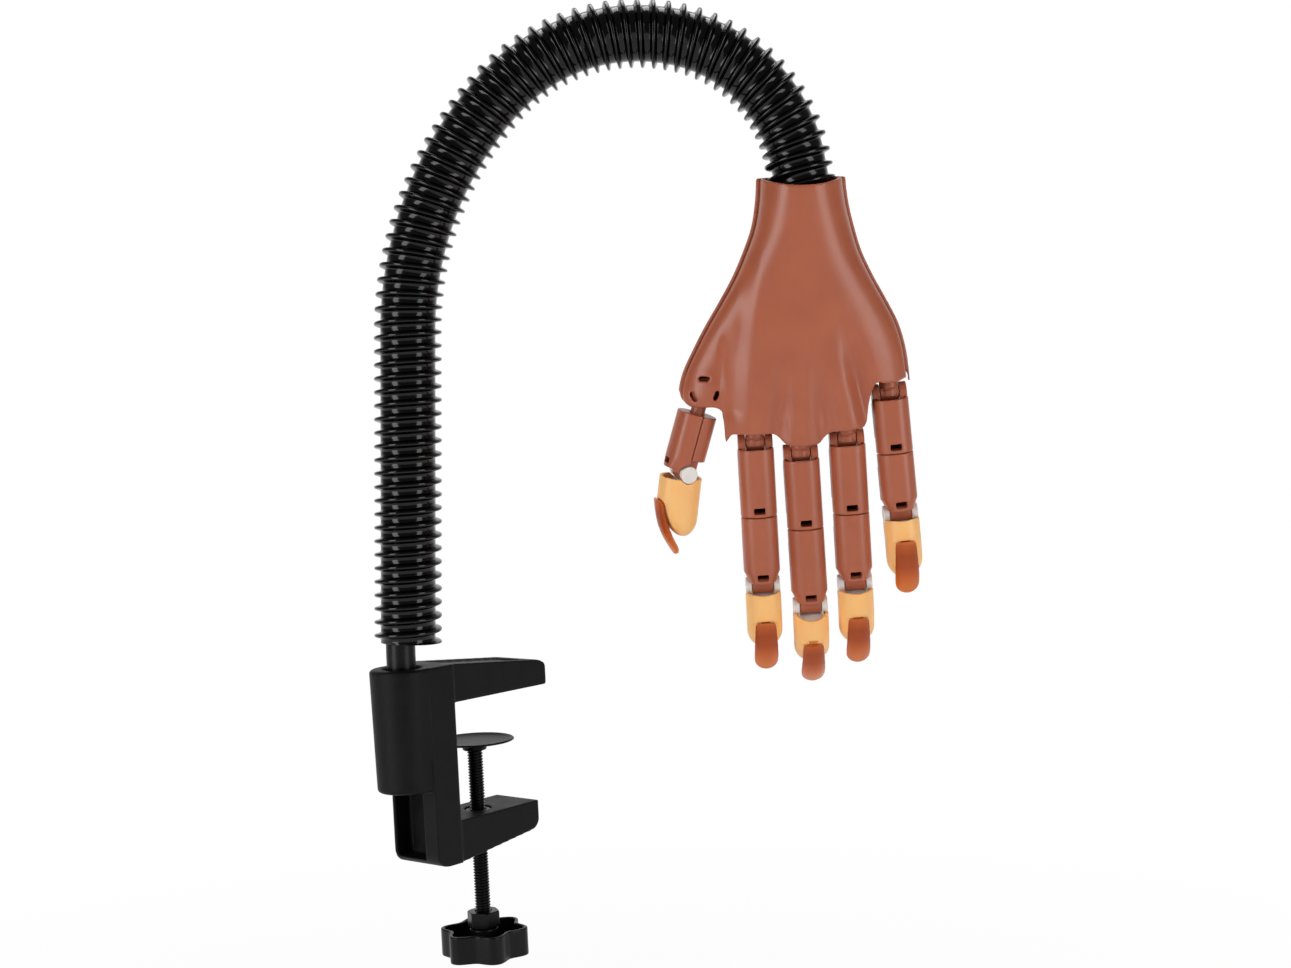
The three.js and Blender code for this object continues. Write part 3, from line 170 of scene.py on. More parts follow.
THUMB_SEGMENT_TOP = 10.6
THUMB_COVER_ABOVE_TIP = 0.9
THUMB_SWING = (-8, 20)
THUMB_DISC_RADIUS = 5.4
THUMB_DISC_HALF = 4
THUMB_POST_HOLE_RADIUS = 2.7
THUMB_STEM_RADIUS = 3.1
THUMB_STEM_HEAD_RADIUS = 4.3
THUMB_STEM_END = -17
THUMB_STEM_SHOULDER = -14
LOBE_EDGE = 7
LOBE_SIDE = 10.2

# Camera, at the photograph's height and angle

PHOTO_WIDTH = 1291
FOCAL_PIXELS = 1932
CAMERA_PLACE = Vector((-0.5861, -0.5956, 0.12))
VIEW_TURN = -50
VIEW_PITCH = -2.29
VIEW_ROLL = 2.8


def set_camera():
    turn = math.radians(VIEW_TURN)
    pitch = math.radians(VIEW_PITCH)
    roll = math.radians(VIEW_ROLL)
    level = Vector((-math.sin(turn), math.cos(turn), 0))
    ahead = level * math.cos(pitch) + Vector((0, 0, math.sin(pitch)))
    right = ahead.cross(Vector((0, 0, 1))).normalized()
    above = right.cross(ahead)
    picture_right = right * math.cos(roll) - above * math.sin(roll)
    picture_up = right * math.sin(roll) + above * math.cos(roll)
    data = bpy.data.cameras.new("camera")
    data.sensor_width = 36
    data.lens = FOCAL_PIXELS * data.sensor_width / PHOTO_WIDTH
    camera = bpy.data.objects.new("camera", data)
    turned_axes = Matrix((picture_right, picture_up, -ahead)).transposed()
    camera.matrix_world = Matrix.Translation(CAMERA_PLACE) @ turned_axes.to_4x4()
    bpy.context.collection.objects.link(camera)
    bpy.context.scene.camera = camera
    return level, right


VIEW_LEVEL, VIEW_RIGHT = set_camera()

# Materials


def linear(hex_code):
    """An sRGB colour written as #rrggbb, turned to linear light"""
    values = [int(hex_code[i:i + 2], 16) / 255 for i in (1, 3, 5)]
    return (*[v / 12.92 if v <= 0.04045 else ((v + 0.055) / 1.055) ** 2.4 for v in values], 1)


def add_node(tree, kind, settings=(), inputs=(), links=()):
    """Adds a node: settings are its own values, inputs its unlinked sockets, links what feeds it"""
    node = tree.nodes.new(kind)
    for name, value in dict(settings).items():
        setattr(node, name, value)
    for name, value in dict(inputs).items():
        node.inputs[name].default_value = value
    for name, source in dict(links).items():
        tree.links.new(source, node.inputs[name])
    return node


def new_material(name):
    material = bpy.data.materials.new(name)
    material.use_nodes = True
    material.node_tree.nodes.clear()
    return material, material.node_tree


def finish_material(tree, shader):
    add_node(tree, "ShaderNodeOutputMaterial", links={"Surface": shader.outputs[0]})


def noisy_surface(name, dark, light, roughness, patch, grain, grain_depth_mm, span=(0.15, 0.85), sockets=()):
    """Cloudy patches that change the tint and the gloss, and a fine grain that blurs what is mirrored.
    Patch and grain are a noise's size in millimetres and its detail; span is the noise from dark to light."""
    material, tree = new_material(name)
    place = add_node(tree, "ShaderNodeTexCoord").outputs["Object"]
    patches, height = [
        add_node(tree, "ShaderNodeTexNoise", inputs={"Scale": 1 / (size * MM), "Detail": detail},
                 links={"Vector": place}).outputs["Fac"] for size, detail in (patch, grain)]
    tint = add_node(tree, "ShaderNodeValToRGB", links={"Fac": patches})
    for stop, position, colour in zip(tint.color_ramp.elements, span, (dark, light)):
        stop.position = position
        stop.color = linear(colour)
    gloss = add_node(tree, "ShaderNodeMapRange", links={"Value": patches}, inputs={
        "From Min": span[0], "From Max": span[1], "To Min": roughness[0], "To Max": roughness[1]})
    bump = add_node(tree, "ShaderNodeBump", links={"Height": height}, inputs={
        "Distance": grain_depth_mm * MM, "Strength": 1})
    shader = add_node(tree, "ShaderNodeBsdfPrincipled", inputs=sockets, links={
        "Base Color": tint.outputs["Color"], "Roughness": gloss.outputs["Result"],
        "Normal": bump.outputs["Normal"]})
    finish_material(tree, shader)
    return material


def plastic(name, dark, light, roughness, patch_mm, grain_mm, grain_depth_mm, sockets):
    """Moulded plastic: cloudy where it flowed, with a fine grain from the tool's face"""
    return noisy_surface(name, dark, light, roughness, (patch_mm, 3), (grain_mm, 2), grain_depth_mm,
                         sockets=sockets)


def steel(name, dark, light, roughness, mark_mm, mark_depth_mm):
    """Metal with the fine marks of turning or of its plating"""
    marks = (mark_mm, 4)
    return noisy_surface(name, dark, light, roughness, marks, marks, mark_depth_mm, (0, 1), {"Metallic": 1})


# Glass-filled nylon, moulded: a dull black with cloudy lighter patches and a faint grain
moulded_nylon = plastic("moulded_nylon", "#070707", "#171616", (0.42, 0.58), 9, 0.5, 0.03,
                        {"Specular IOR Level": 0.12})
# Polypropylene, moulded: a smooth black with a soft sheen on the knob's rounded lobes
moulded_polypropylene = plastic("moulded_polypropylene", "#080808", "#0f0f0f", (0.26, 0.34), 12, 0.4, 0.01,
                                {"Specular IOR Level": 0.16})
# Soft PVC, extruded over a former: deep black with wet-looking narrow highlights
extruded_pvc = plastic("extruded_pvc", "#020202", "#050505", (0.12, 0.17), 15, 1.5, 0.008,
                       {"Specular IOR Level": 0.29})
# ABS, moulded and left unpainted: warm brown, satin, with slow changes of tone
moulded_abs = plastic("moulded_abs", "#a3563c", "#af6043", (0.27, 0.34), 14, 0.6, 0.01,
                      {"Specular IOR Level": 0.38})
# Soft vinyl, slush-moulded: peach, and light that enters it softens its shadows
soft_vinyl = plastic("soft_vinyl", "#ffb96c", "#ffc77e", (0.36, 0.44), 10, 0.5, 0.01,
                     {"Subsurface Weight": 0.15, "Subsurface Scale": 0.002})
# Polypropylene, moulded unpigmented: a milky white that lets a little light in at its edges
milky_polypropylene = plastic("milky_polypropylene", "#e2dcd6", "#f0ebe6", (0.22, 0.3), 8, 0.4, 0.006,
                              {"Subsurface Weight": 0.3, "Subsurface Scale": 0.002})
# Steel, blacked in oil: near-black metal with a dull shine
blacked_steel = steel("blacked_steel", "#1c1c1d", "#2b2b2c", (0.3, 0.42), 0.6, 0.004)
# Steel, pressed and burnished: its grey is painted dark, as painted shade and painted dark reflection in the
# dished top, and it shines only along the disc's rolled rim
shade_darkened_steel = steel("shade_darkened_steel", "#121213", "#1b1b1d", (0.42, 0.52), 1.2, 0.001)
# Steel, zinc plated: bright silver, faintly clouded
zinc_plated_steel = steel("zinc_plated_steel", "#a9a9ab", "#c9c9ca", (0.22, 0.34), 1.2, 0.004)


# The nail's colours between its free end, at 0, and its root, at 1: its own orange-brown, lighter at the free
# end and at the root's edge as a painted glow, and darker between them as painted shade over the fingertip
NAIL_TINTS_AND_PAINTED_LIGHT = [(0.12, "#dc7430"), (0.3, "#cd6226"), (0.5, "#af4c1d"), (0.72, "#a84819"), (0.92, "#c05a25")]


def nail_tint_with_painted_light():
    """Polycarbonate nail, moulded thin and polished, its own tint orange-brown. Along the nail the colour
    also paints light and shade:
    a painted orange glow at the free end, where light passes, and at the root's edge, and painted shade over
    the fingertip"""
    material, tree = new_material("nail_tint_with_painted_light")
    across = add_node(tree, "ShaderNodeTexCoord").outputs["Generated"]
    height = add_node(tree, "ShaderNodeSeparateXYZ", links={"Vector": across})
    tint = add_node(tree, "ShaderNodeValToRGB", links={"Fac": height.outputs["Z"]})
    # Painted glow: the free end, at 0, and the root's edge, at 1, are the lightest
    tint.color_ramp.elements[0].color = linear("#dc7c38")
    tint.color_ramp.elements[1].color = linear("#da783c")
    for share, colour in NAIL_TINTS_AND_PAINTED_LIGHT:
        tint.color_ramp.elements.new(share).color = linear(colour)
    shader = add_node(tree, "ShaderNodeBsdfPrincipled", links={"Base Color": tint.outputs["Color"]}, inputs={
        "Roughness": 0.09, "IOR": 1.58, "Specular IOR Level": 0.15, "Transmission Weight": 0.08})
    finish_material(tree, shader)
    return material


polished_nail = nail_tint_with_painted_light()

# Solids: each is a mesh object in millimetres, joined and cut, then rounded like a moulding


def mesh_object(name, points, faces):
    mesh = bpy.data.meshes.new(name)
    mesh.from_pydata([tuple(p) for p in points], [], faces)
    mesh.update()
    obj = bpy.data.objects.new(name, mesh)
    bpy.context.collection.objects.link(obj)
    return obj


def moved(obj, matrix):
    obj.data.transform(matrix)
    return obj


def outward(obj, weld=1e-5):
    """Joins the points of a closed solid that meet, and turns its faces so that they all point out"""
    shape = bmesh.new()
    shape.from_mesh(obj.data)
    bmesh.ops.remove_doubles(shape, verts=shape.verts, dist=weld)
    bmesh.ops.recalc_face_normals(shape, faces=shape.faces)
    shape.to_mesh(obj.data)
    shape.free()
    return obj


def merge(obj, other):
    """Takes another object's faces into this one as they are"""
    shape = bmesh.new()
    shape.from_mesh(obj.data)
    shape.from_mesh(other.data)
    shape.to_mesh(obj.data)
    shape.free()
    bpy.data.objects.remove(other, do_unlink=True)
    return obj


def full_turn(count, phase=0):
    """Evenly spaced angles round a circle"""
    return [2 * math.pi * (i + phase) / count for i in range(count)]


def ring_faces(rings, sides, closed=False):
    """Faces between neighbouring rings, and from the last ring to the first if they close"""
    faces = []
    for i in range(rings if closed else rings - 1):
        n = (i + 1) % rings
        for j in range(sides):
            k = (j + 1) % sides
            faces.append((i * sides + j, i * sides + k, n * sides + k, n * sides + j))
    return faces


def loft(rings):
    """Rings of points joined into one skin, with a face closing each end"""
    count = len(rings[0])
    points = [p for ring in rings for p in ring]
    ends = [tuple(reversed(range(count))), tuple(range(len(points) - count, len(points)))]
    return outward(mesh_object("loft", points, ring_faces(len(rings), count) + ends))


def turned(profile, sides=64):
    """A profile of (radius, z) turned about Z, which starts and ends on the axis or closes on itself"""
    points = [(radius * math.cos(angle), radius * math.sin(angle), z)
              for radius, z in profile for angle in full_turn(sides)]
    return outward(mesh_object("turned", points, ring_faces(len(profile), sides, profile[0][0] > 0)))


def wound_faces(rows, sides, seam_step):
    """Faces between the rows of a helix. Across the seam, a row meets the one that many rows on."""
    faces = []
    for i in range(rows):
        for j in range(sides):
            k = i if j + 1 < sides else i + seam_step
            n = (j + 1) % sides
            quad = (i * sides + j, k * sides + n, (k + 1) * sides + n, (i + 1) * sides + j)
            if min(quad) >= 0 and max(quad) < rows * sides:
                faces.append(quad)
    return faces


def rod(axis, start, end, u, v, radius, sides=40):
    """A cylinder along X, Y or Z through (u, v) on the other two axes"""
    rings = []
    for place in (start, end):
        ring = []
        for angle in full_turn(sides):
            a, b = u + radius * math.cos(angle), v + radius * math.sin(angle)
            ring.append({"x": (place, a, b), "y": (a, place, b), "z": (a, b, place)}[axis])
        rings.append(ring)
    return loft(rings)


def box(x0, x1, y0, y1, z0, z1):
    return loft([[(x0, y0, z), (x1, y0, z), (x1, y1, z), (x0, y1, z)] for z in (z0, z1)])


def plate(edge, y0, y1):
    """An edge of points in X and Z, pushed through a stretch of Y"""
    return loft([[(x, y, z) for x, z in edge] for y in (y0, y1)])


def curve(start, control, end):
    """Eight points of a quadratic curve, without its start"""
    shares = [i / 8 for i in range(1, 9)]
    return [tuple((1 - t) ** 2 * a + 2 * t * (1 - t) * b + t * t * c for a, b, c in zip(start, control, end))
            for t in shares]


def outline(points, moves):
    """Takes a list of points further: each move is a point, or a curve's control point and its end"""
    for move in moves:
        points += curve(points[-1], *move) if isinstance(move[0], tuple) else [move]
    return points


def apply_modifiers(obj):
    """Replaces an object's mesh by what its modifiers make of it"""
    graph = bpy.context.evaluated_depsgraph_get()
    mesh = bpy.data.meshes.new_from_object(obj.evaluated_get(graph))
    obj.modifiers.clear()
    obj.data = mesh
    return obj


def combine(obj, operation, tools):
    for tool in tools:
        modifier = obj.modifiers.new("combine", "BOOLEAN")
        modifier.operation = operation
        modifier.solver = "EXACT"
        modifier.object = tool
    apply_modifiers(obj)
    for tool in tools:
        bpy.data.objects.remove(tool, do_unlink=True)
    return obj


def join(obj, *tools):
    return combine(obj, "UNION", tools)


def cut(obj, *tools):
    return combine(obj, "DIFFERENCE", tools)


def keep_inside(obj, *tools):
    return combine(obj, "INTERSECT", tools)


def moulded(obj, voxel=0.3, rounding=3, keep=0.2):
    """Rounds every edge a little, as a mould does, and thins the mesh where it is flat.
    Voxel is the mesh's grid in millimetres, rounding the smoothing passes, keep the share of faces left."""
    remesh = obj.modifiers.new("remesh", "REMESH")
    remesh.mode = "VOXEL"
    remesh.voxel_size = voxel
    smooth = obj.modifiers.new("smooth", "SMOOTH")
    smooth.factor = 0.5
    smooth.iterations = rounding
    thin = obj.modifiers.new("thin", "DECIMATE")
    thin.ratio = keep
    return apply_modifiers(obj)


def dress(obj, name, material, matrix, replaces):
    """Moves a solid from its own frame in millimetres to the part's frame in metres, and gives its finish"""
    obj.name = name
    obj.data.name = name
    obj.data.transform(Matrix.Scale(MM, 4) @ matrix)
    obj.data.materials.clear()
    obj.data.materials.append(material)
    obj.data.polygons.foreach_set("use_smooth", [True] * len(obj.data.polygons))
    obj.data.update()
    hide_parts(*replaces)
    return obj


def place(obj, name, body, slot, material, matrix, replaces):
    dress(obj, name, material, matrix, replaces)
    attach(obj, body)
    return obj


def keep_edges_sharp(obj):
    """Smooth shading stops at the sharp edges of a machined piece"""
    obj.data.set_sharp_from_angle(angle=math.radians(35))


def refinish(material, *nodes):
    """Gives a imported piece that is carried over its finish"""
    for node in nodes:
        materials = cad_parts[node].data.materials
        materials.clear()
        materials.append(material)


def turn(axis, degrees):
    return Matrix.Rotation(math.radians(degrees), 4, axis)


def shift(x, y, z):
    return Matrix.Translation((x, y, z))


def smoothstep(value, low, high):
    t = min(1, max(0, (value - low) / (high - low)))
    return t * t * (3 - 2 * t)


# Clamp


def clamp_outline():
    lower_tip = -JAW_OPENING - LOWER_JAW_TIP
    corner = 5
    slope = (LOWER_JAW_ROOT - LOWER_JAW_TIP) / (LOWER_JAW_REACH - SPINE_INNER_X)
    tip = UPPER_JAW_REACH - 0.5
    return outline([(SPINE_BACK_X, UPPER_JAW_ROOT)], [
        (SPINE_INNER_X, UPPER_JAW_ROOT),
        (UPPER_JAW_REACH - 2 * corner, UPPER_JAW_TIP),
        ((tip - 3, UPPER_JAW_TIP - 0.4), (tip - 1.5, UPPER_JAW_TIP - corner)),
        (UPPER_JAW_REACH, 0),
        (SPINE_INNER_X, 0),
        (SPINE_INNER_X, -JAW_OPENING),
        (LOWER_JAW_REACH, -JAW_OPENING),
        (LOWER_JAW_REACH, lower_tip + corner),
        ((LOWER_JAW_REACH, lower_tip), (LOWER_JAW_REACH - corner, lower_tip - slope * corner)),
        (SPINE_INNER_X, CLAMP_BOTTOM),
        (SPINE_BACK_X + 7, CLAMP_BOTTOM),
        ((SPINE_BACK_X, CLAMP_BOTTOM), (SPINE_BACK_X, CLAMP_BOTTOM + 7))])


def clamp_body():
    body = plate(clamp_outline(), -SPINE_HALF, SPINE_HALF)
    cuts = [box(SPINE_INNER_X, 60, *sides, CLAMP_BOTTOM - 1, 20)
            for sides in ((JAW_HALF, 20), (-20, -JAW_HALF))]
    start = UPPER_JAW_REACH - JAW_TIP_CHAMFER
    end = UPPER_JAW_REACH + 1
    for side in (-1, 1):
        wedge = [(start, side * JAW_HALF), (end, side * (JAW_HALF - JAW_TIP_CHAMFER - 1)),
                 (end, side * 15), (start - 2, side * 15)]
        cuts.append(loft([[(x, y, z) for x, y in wedge] for z in (-1, 20)]))
    cut(body, *cuts)
    boss_bottom = UPPER_JAW_ROOT - BOSS_LENGTH
    boss = turned([(0, boss_bottom), (BOSS_RADIUS - BOSS_DRAFT - 1, boss_bottom),
                   (BOSS_RADIUS - BOSS_DRAFT, boss_bottom + 1), (BOSS_RADIUS, UPPER_JAW_ROOT - 1),
                   (BOSS_RADIUS - 1, UPPER_JAW_ROOT), (0, UPPER_JAW_ROOT)], 96)
    join(body, moved(boss, shift(BOSS_X, 0, 0)))
    bore = rod("z", UPPER_JAW_ROOT - BORE_DEPTH, 20, BOSS_X, 0, CORE_RADIUS + GAP, 64)
    flare = turned([(0, UPPER_JAW_ROOT - 4), (CORE_RADIUS + GAP, UPPER_JAW_ROOT - 4),
                    (8.3, UPPER_JAW_ROOT - 1.2), (8.6, UPPER_JAW_ROOT + 1), (0, UPPER_JAW_ROOT + 1)], 64)
    moved(flare, shift(BOSS_X, 0, 0))
    recess = box(SPINE_BACK_X - 1, SPINE_BACK_X + 9, -5.2, SPINE_HALF - 1.6,
                 CLAMP_BOTTOM + 3.2, boss_bottom - 1.6)
    hole = rod("z", CLAMP_BOTTOM - 5, -JAW_OPENING + 1, 0, 0, INSERT_HOLE_RADIUS, 48)
    fall = math.degrees(math.atan2(UPPER_JAW_ROOT - UPPER_JAW_TIP, UPPER_JAW_REACH - 10 - SPINE_INNER_X))
    panel = box(2, 48, -JAW_PANEL_HALF, JAW_PANEL_HALF, -1, 3)
    moved(panel, shift(SPINE_INNER_X, 0, UPPER_JAW_ROOT) @ turn("Y", fall))
    cut(body, bore, flare, recess, hole, panel)
    return moulded(body, 0.55, 5, 0.25)


def thread(bottom, top):
    """A screw thread: rows of points that follow the helix, flattened to the ends of the screw"""
    sides = 20
    root = SCREW_RADIUS - THREAD_DEPTH
    rows = [(0, SCREW_RADIUS), (0.12, SCREW_RADIUS), (0.5, root), (0.62, root)]
    first = math.floor(bottom / THREAD_PITCH) - 1
    last = math.ceil(top / THREAD_PITCH) + 1
    points = []
    for turn_number in range(first, last):
        for share, row_radius in rows:
            for j, angle in enumerate(full_turn(sides)):
                z = (turn_number + share + j / sides) * THREAD_PITCH
                held = min(top, max(bottom, z))
                reach = row_radius if held == z else root
                points.append((reach * math.cos(angle), reach * math.sin(angle), held))
    return outward(mesh_object("thread", points, wound_faces(len(points) // sides, sides, len(rows))))


def clamp_screw():
    knob_end = KNOB_TOP - 9
    radius = SCREW_RADIUS - THREAD_DEPTH + 0.02
    core = turned([(0, knob_end), (radius, knob_end), (radius, SCREW_TOP - 0.5),
                   (SCREW_RADIUS - 1.1, SCREW_TOP), (0, SCREW_TOP)], 32)
    return merge(core, thread(knob_end + 0.5, SCREW_TOP - 0.5))


def pressure_pad():
    """A dished disc, pressed from sheet, with a hub that the screw turns in"""
    rim = PAD_TOP - 0.9
    underside = rim - 1.7
    hub = 5.2
    bore = SCREW_RADIUS + GAP
    return turned([(0, PAD_TOP - 1.2), (9, PAD_TOP - 1.15), (13.5, PAD_TOP - 0.9), (15.6, PAD_TOP - 0.4),
                   (16.3, PAD_TOP), (16.8, PAD_TOP), (PAD_RADIUS, PAD_TOP - 0.3), (PAD_RADIUS, rim + 0.2),
                   (PAD_RADIUS - 0.4, rim), (hub + 1.2, underside + 0.1), (hub + 0.3, underside - 0.3),
                   (hub, underside - 0.9), (hub, PAD_TOP - 4.2), (hub - 0.4, PAD_TOP - 4.6),
                   (bore, PAD_TOP - 4.6), (bore, SCREW_TOP + GAP), (0, SCREW_TOP + GAP)], 96)


def jam_nut():
    radius = NUT_ACROSS_FLATS / math.sqrt(3)
    bottom = NUT_TOP - NUT_HEIGHT
    body = rod("z", bottom, NUT_TOP, 0, 0, radius, 6)
    flat = radius * 0.9
    crown = turned([(0, bottom), (flat, bottom), (radius + 0.6, bottom + 0.8), (radius + 0.6, NUT_TOP - 0.8),
                    (flat, NUT_TOP), (0, NUT_TOP)], 48)
    keep_inside(body, crown)
    cut(body, rod("z", bottom - 1, NUT_TOP + 1, 0, 0, SCREW_RADIUS + GAP, 32))
    return moulded(body, 0.22, 2, 0.25)


def star_knob():
    bottom = KNOB_TOP - KNOB_HEIGHT

    def star(inset, z0, z1):
        outline = []
        for angle in full_turn(96):
            radius = KNOB_RADIUS + KNOB_LOBE_HEIGHT * math.cos(KNOB_LOBES * angle) - inset
            outline.append((radius * math.cos(angle), radius * math.sin(angle)))
        return loft([[(x, y, z) for x, y in outline] for z in (z0, z1)])

    cup = cut(star(0, bottom, KNOB_TOP), star(KNOB_WALL, bottom + KNOB_FLOOR, KNOB_TOP + 1))
    join(cup, rod("z", bottom + 1, KNOB_TOP, 0, 0, KNOB_HUB_RADIUS, 48))
    cut(cup, rod("z", bottom + 2.1, KNOB_TOP + 1, 0, 0, SCREW_RADIUS + GAP, 32))
    return moulded(cup, 0.35, 5, 0.25)


def thread_insert():
    jaw_rise = (LOWER_JAW_ROOT - LOWER_JAW_TIP) * SPINE_INNER_X / (SPINE_INNER_X - LOWER_JAW_REACH)
    bottom = CLAMP_BOTTOM + 0.6 + jaw_rise
    top = -JAW_OPENING - 0.6
    inner = SCREW_RADIUS + GAP
    return turned([(inner, bottom + 0.4), (inner + 0.4, bottom), (INSERT_RADIUS - 0.4, bottom),
                   (INSERT_RADIUS, bottom + 0.4), (INSERT_RADIUS, top - 0.4), (INSERT_RADIUS - 0.4, top),
                   (inner + 0.4, top), (inner, top - 0.4)], 48)


CLAMP_PIECES = [
    (clamp_body(), "clamp_frame", "clamp", "clamp_plastic", moulded_nylon, "clamp_body"),
    (thread_insert(), "screw_insert", "clamp", "blacked_steel", blacked_steel, "thread_insert"),
    # The pad's steel is painted dark, as painted shade in its dish
    (pressure_pad(), "pad_disc", "pad", "bright_steel", shade_darkened_steel, "pressure_pad"),
    (clamp_screw(), "screw_thread", "screw", "blacked_steel", blacked_steel, "clamp_screw"),
    (jam_nut(), "hex_nut", "screw", "blacked_steel", blacked_steel, "jam_nut"),
    (star_knob(), "knob_cup", "screw", "knob_plastic", moulded_polypropylene, "star_knob"),
]
MACHINED = ("screw_insert", "pad_disc", "screw_thread")
for solid, name, body, slot, material, node in CLAMP_PIECES:
    place(solid, name, body, slot, material, Matrix.Identity(4), [node])
    if name in MACHINED:
        keep_edges_sharp(solid)

# Flexible arm: a centre line in one upright plane, and the ribbed sleeve wound round it

ARM = shift(BOSS_X, 0, 0) @ turn("Z", ARM_TURN)

# Each stretch's length and how far it bends, and the marks between the stretches along the arm
STRETCHES = [(ARM_STRAIGHT, 0), *[(math.radians(angle) * radius, angle) for angle, radius in ARM_BENDS],
             (ARM_END_STRAIGHT, 0)]
MARKS = [sum(length for length, _ in STRETCHES[:count]) for count in range(len(STRETCHES) + 1)]


def arm_place(length):
    """The sleeve's centre line: x and z in the arm's plane, and the heading"""
    heading = math.radians(ARM_LEAN)
    x = SLEEVE_OFFSET * math.sin(heading)
    z = SLEEVE_START_Z
    left = length
    for stretch, angle in STRETCHES:
        run = min(left, stretch)
        bend = math.radians(angle) * run / stretch
        chord = run if bend == 0 else 2 * run * math.sin(bend / 2) / bend
        x += chord * math.cos(heading - bend / 2)
        z += chord * math.sin(heading - bend / 2)
        heading -= bend
        left -= run
        if left <= 1e-9:
            break
    return x, z, heading


def point_round(x, z, heading, radius, angle):
    """A point round a middle in the arm's plane, at an angle from the bends' outer side"""
    out = radius * math.cos(angle)
    return (x - out * math.sin(heading), radius * math.sin(angle), z + out * math.cos(heading))


def core_point(length):
    """The core lies against the outer side of the sleeve, and is centred in it at the wrist"""
    offset = SLEEVE_OFFSET * (1 - smoothstep(length, MARKS[3], MARKS[4]))
    return Vector(point_round(*arm_place(length), offset, 0))


# One rib's profile: share of the pitch, and height above the valley
RIB_PROFILE = [(0, 0), (0.2, 0), (0.26, 0.1), (0.31, 0.38), (0.35, 0.7), (0.39, 0.9), (0.44, 0.99), (0.5, 1),
               (0.56, 0.99), (0.61, 0.9), (0.65, 0.7), (0.69, 0.38), (0.74, 0.1), (0.8, 0)]
SLEEVE_SIDES = 48


def outer_radius(length, j):
    """The sleeve's radius at a length and a side: the ribs wind once round it in each pitch"""
    phase = length / RIB_PITCH + j / SLEEVE_SIDES
    phase -= math.floor(phase)
    profile = [*RIB_PROFILE, (1, 0)]
    height = 0
    for (a, low), (b, high) in zip(profile, profile[1:]):
        if a <= phase <= b:
            height = low + (high - low) * (phase - a) / (b - a)
            break
    return SLEEVE_ROOT + (SLEEVE_CREST - SLEEVE_ROOT) * height


def sleeve_stretch(start, end):
    """The sleeve from one length to another. Its rows follow the ribs, which wind left-handed."""
    bottom_turn = math.floor(start / RIB_PITCH) - 1
    top_turn = math.ceil(end / RIB_PITCH) + 2
    sides = range(SLEEVE_SIDES)
    points = []
    for number in range(bottom_turn, top_turn):
        for share, _ in RIB_PROFILE:
            for j in sides:
                length = min(end, max(start, (number + share - j / SLEEVE_SIDES) * RIB_PITCH))
                points.append(sleeve_point(length, j, outer_radius(length, j)))
    rows = len(points) // SLEEVE_SIDES
    outer = mesh_object("sleeve", points, wound_faces(rows, SLEEVE_SIDES, -len(RIB_PROFILE)))
    steps = max(2, round((end - start) / 6))
    rings = [[sleeve_point(start, j, outer_radius(start, j)) for j in sides]]
    for i in range(steps + 1):
        rings.append([sleeve_point(start + (end - start) * i / steps, j, SLEEVE_BORE) for j in sides])
    rings.append([sleeve_point(end, j, outer_radius(end, j)) for j in sides])
    bore_points = [p for ring in rings for p in ring]
    bore = mesh_object("bore", bore_points, ring_faces(len(rings), SLEEVE_SIDES))
    return outward(merge(outer, bore), 1e-4)


def sleeve_point(length, j, radius):
    return point_round(*arm_place(length), radius, 2 * math.pi * j / SLEEVE_SIDES)


def in_metres(point):
    return tuple(ARM @ Vector(point) * MM)


# The sleeve is one piece on the real arm: its three stretches meet midway between the bends
MIDDLE_A = (MARKS[1] + MARKS[2]) / 2
MIDDLE_B = (MARKS[2] + MARKS[3]) / 2
BEND_SPREAD = 26
SLEEVE_STRETCHES = [
    ("sleeve_foot", 0, MIDDLE_A, MARKS[1], ("post", "arm_a"), ["sleeve_lower", "sleeve_a"]),
    ("sleeve_bow", MIDDLE_A, MIDDLE_B, MARKS[2], ("arm_a", "arm_b"), ["sleeve_b"]),
    ("sleeve_drop", MIDDLE_B, MARKS[5], MARKS[3], ("arm_b", "arm_c"), ["sleeve_c"]),
]
for name, start, end, hinge, (before, after), nodes in SLEEVE_STRETCHES:
    sleeve = dress(sleeve_stretch(start, end), name, extruded_pvc, ARM, nodes)
    entry = in_metres(core_point(hinge - BEND_SPREAD))
    leaving = in_metres(core_point(hinge + BEND_SPREAD))
    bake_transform(sleeve)


def core_ring(length, radius):
    heading = arm_place(length)[2]
    middle = core_point(length)
    return [point_round(middle.x, middle.z, heading, radius, angle) for angle in full_turn(40)]


def core_post():
    """The core's foot: straight up out of the clamp's bore, then along the sleeve to its first hinge"""
    foot_heights = [UPPER_JAW_ROOT - BORE_DEPTH + GAP, 6, (UPPER_JAW_ROOT + SLEEVE_START_Z) / 2]
    rings = [[(-CORE_RADIUS * math.cos(a), CORE_RADIUS * math.sin(a), z) for a in full_turn(40)]
             for z in foot_heights]
    lengths = [6, 20, 40, 60, 80, 100, MARKS[1]]
    rings += [core_ring(length, CORE_RADIUS) for length in lengths]
    rings += [core_ring(MARKS[1] + CORE_RADIUS * math.sin(a), CORE_RADIUS * math.cos(a))
              for a in (0.4, 0.8, 1.2, 1.5)]
    return loft(rings)


def core_end():
    """The core's last stretch, which ends inside the wrist"""
    start = MARKS[3] + CORE_RADIUS + 0.9
    end = MARKS[5] - SLEEVE_IN_WRIST + 27
    return loft([core_ring(start + (end - start) * i / 30, CORE_RADIUS) for i in range(31)])


place(core_post(), "core_post", "post", "blacked_steel", blacked_steel, ARM, ["core_lower"])
place(core_end(), "core_end", "arm_c", "blacked_steel", blacked_steel, ARM, ["core_c"])
refinish(blacked_steel, "core_a", "core_b")

# Hand shells

WRIST_LENGTH = MARKS[5] - SLEEVE_IN_WRIST
HAND = ARM @ Matrix.Translation(core_point(WRIST_LENGTH)) @ turn("X", HAND_TILT) @ turn("Y", HAND_LEAN)

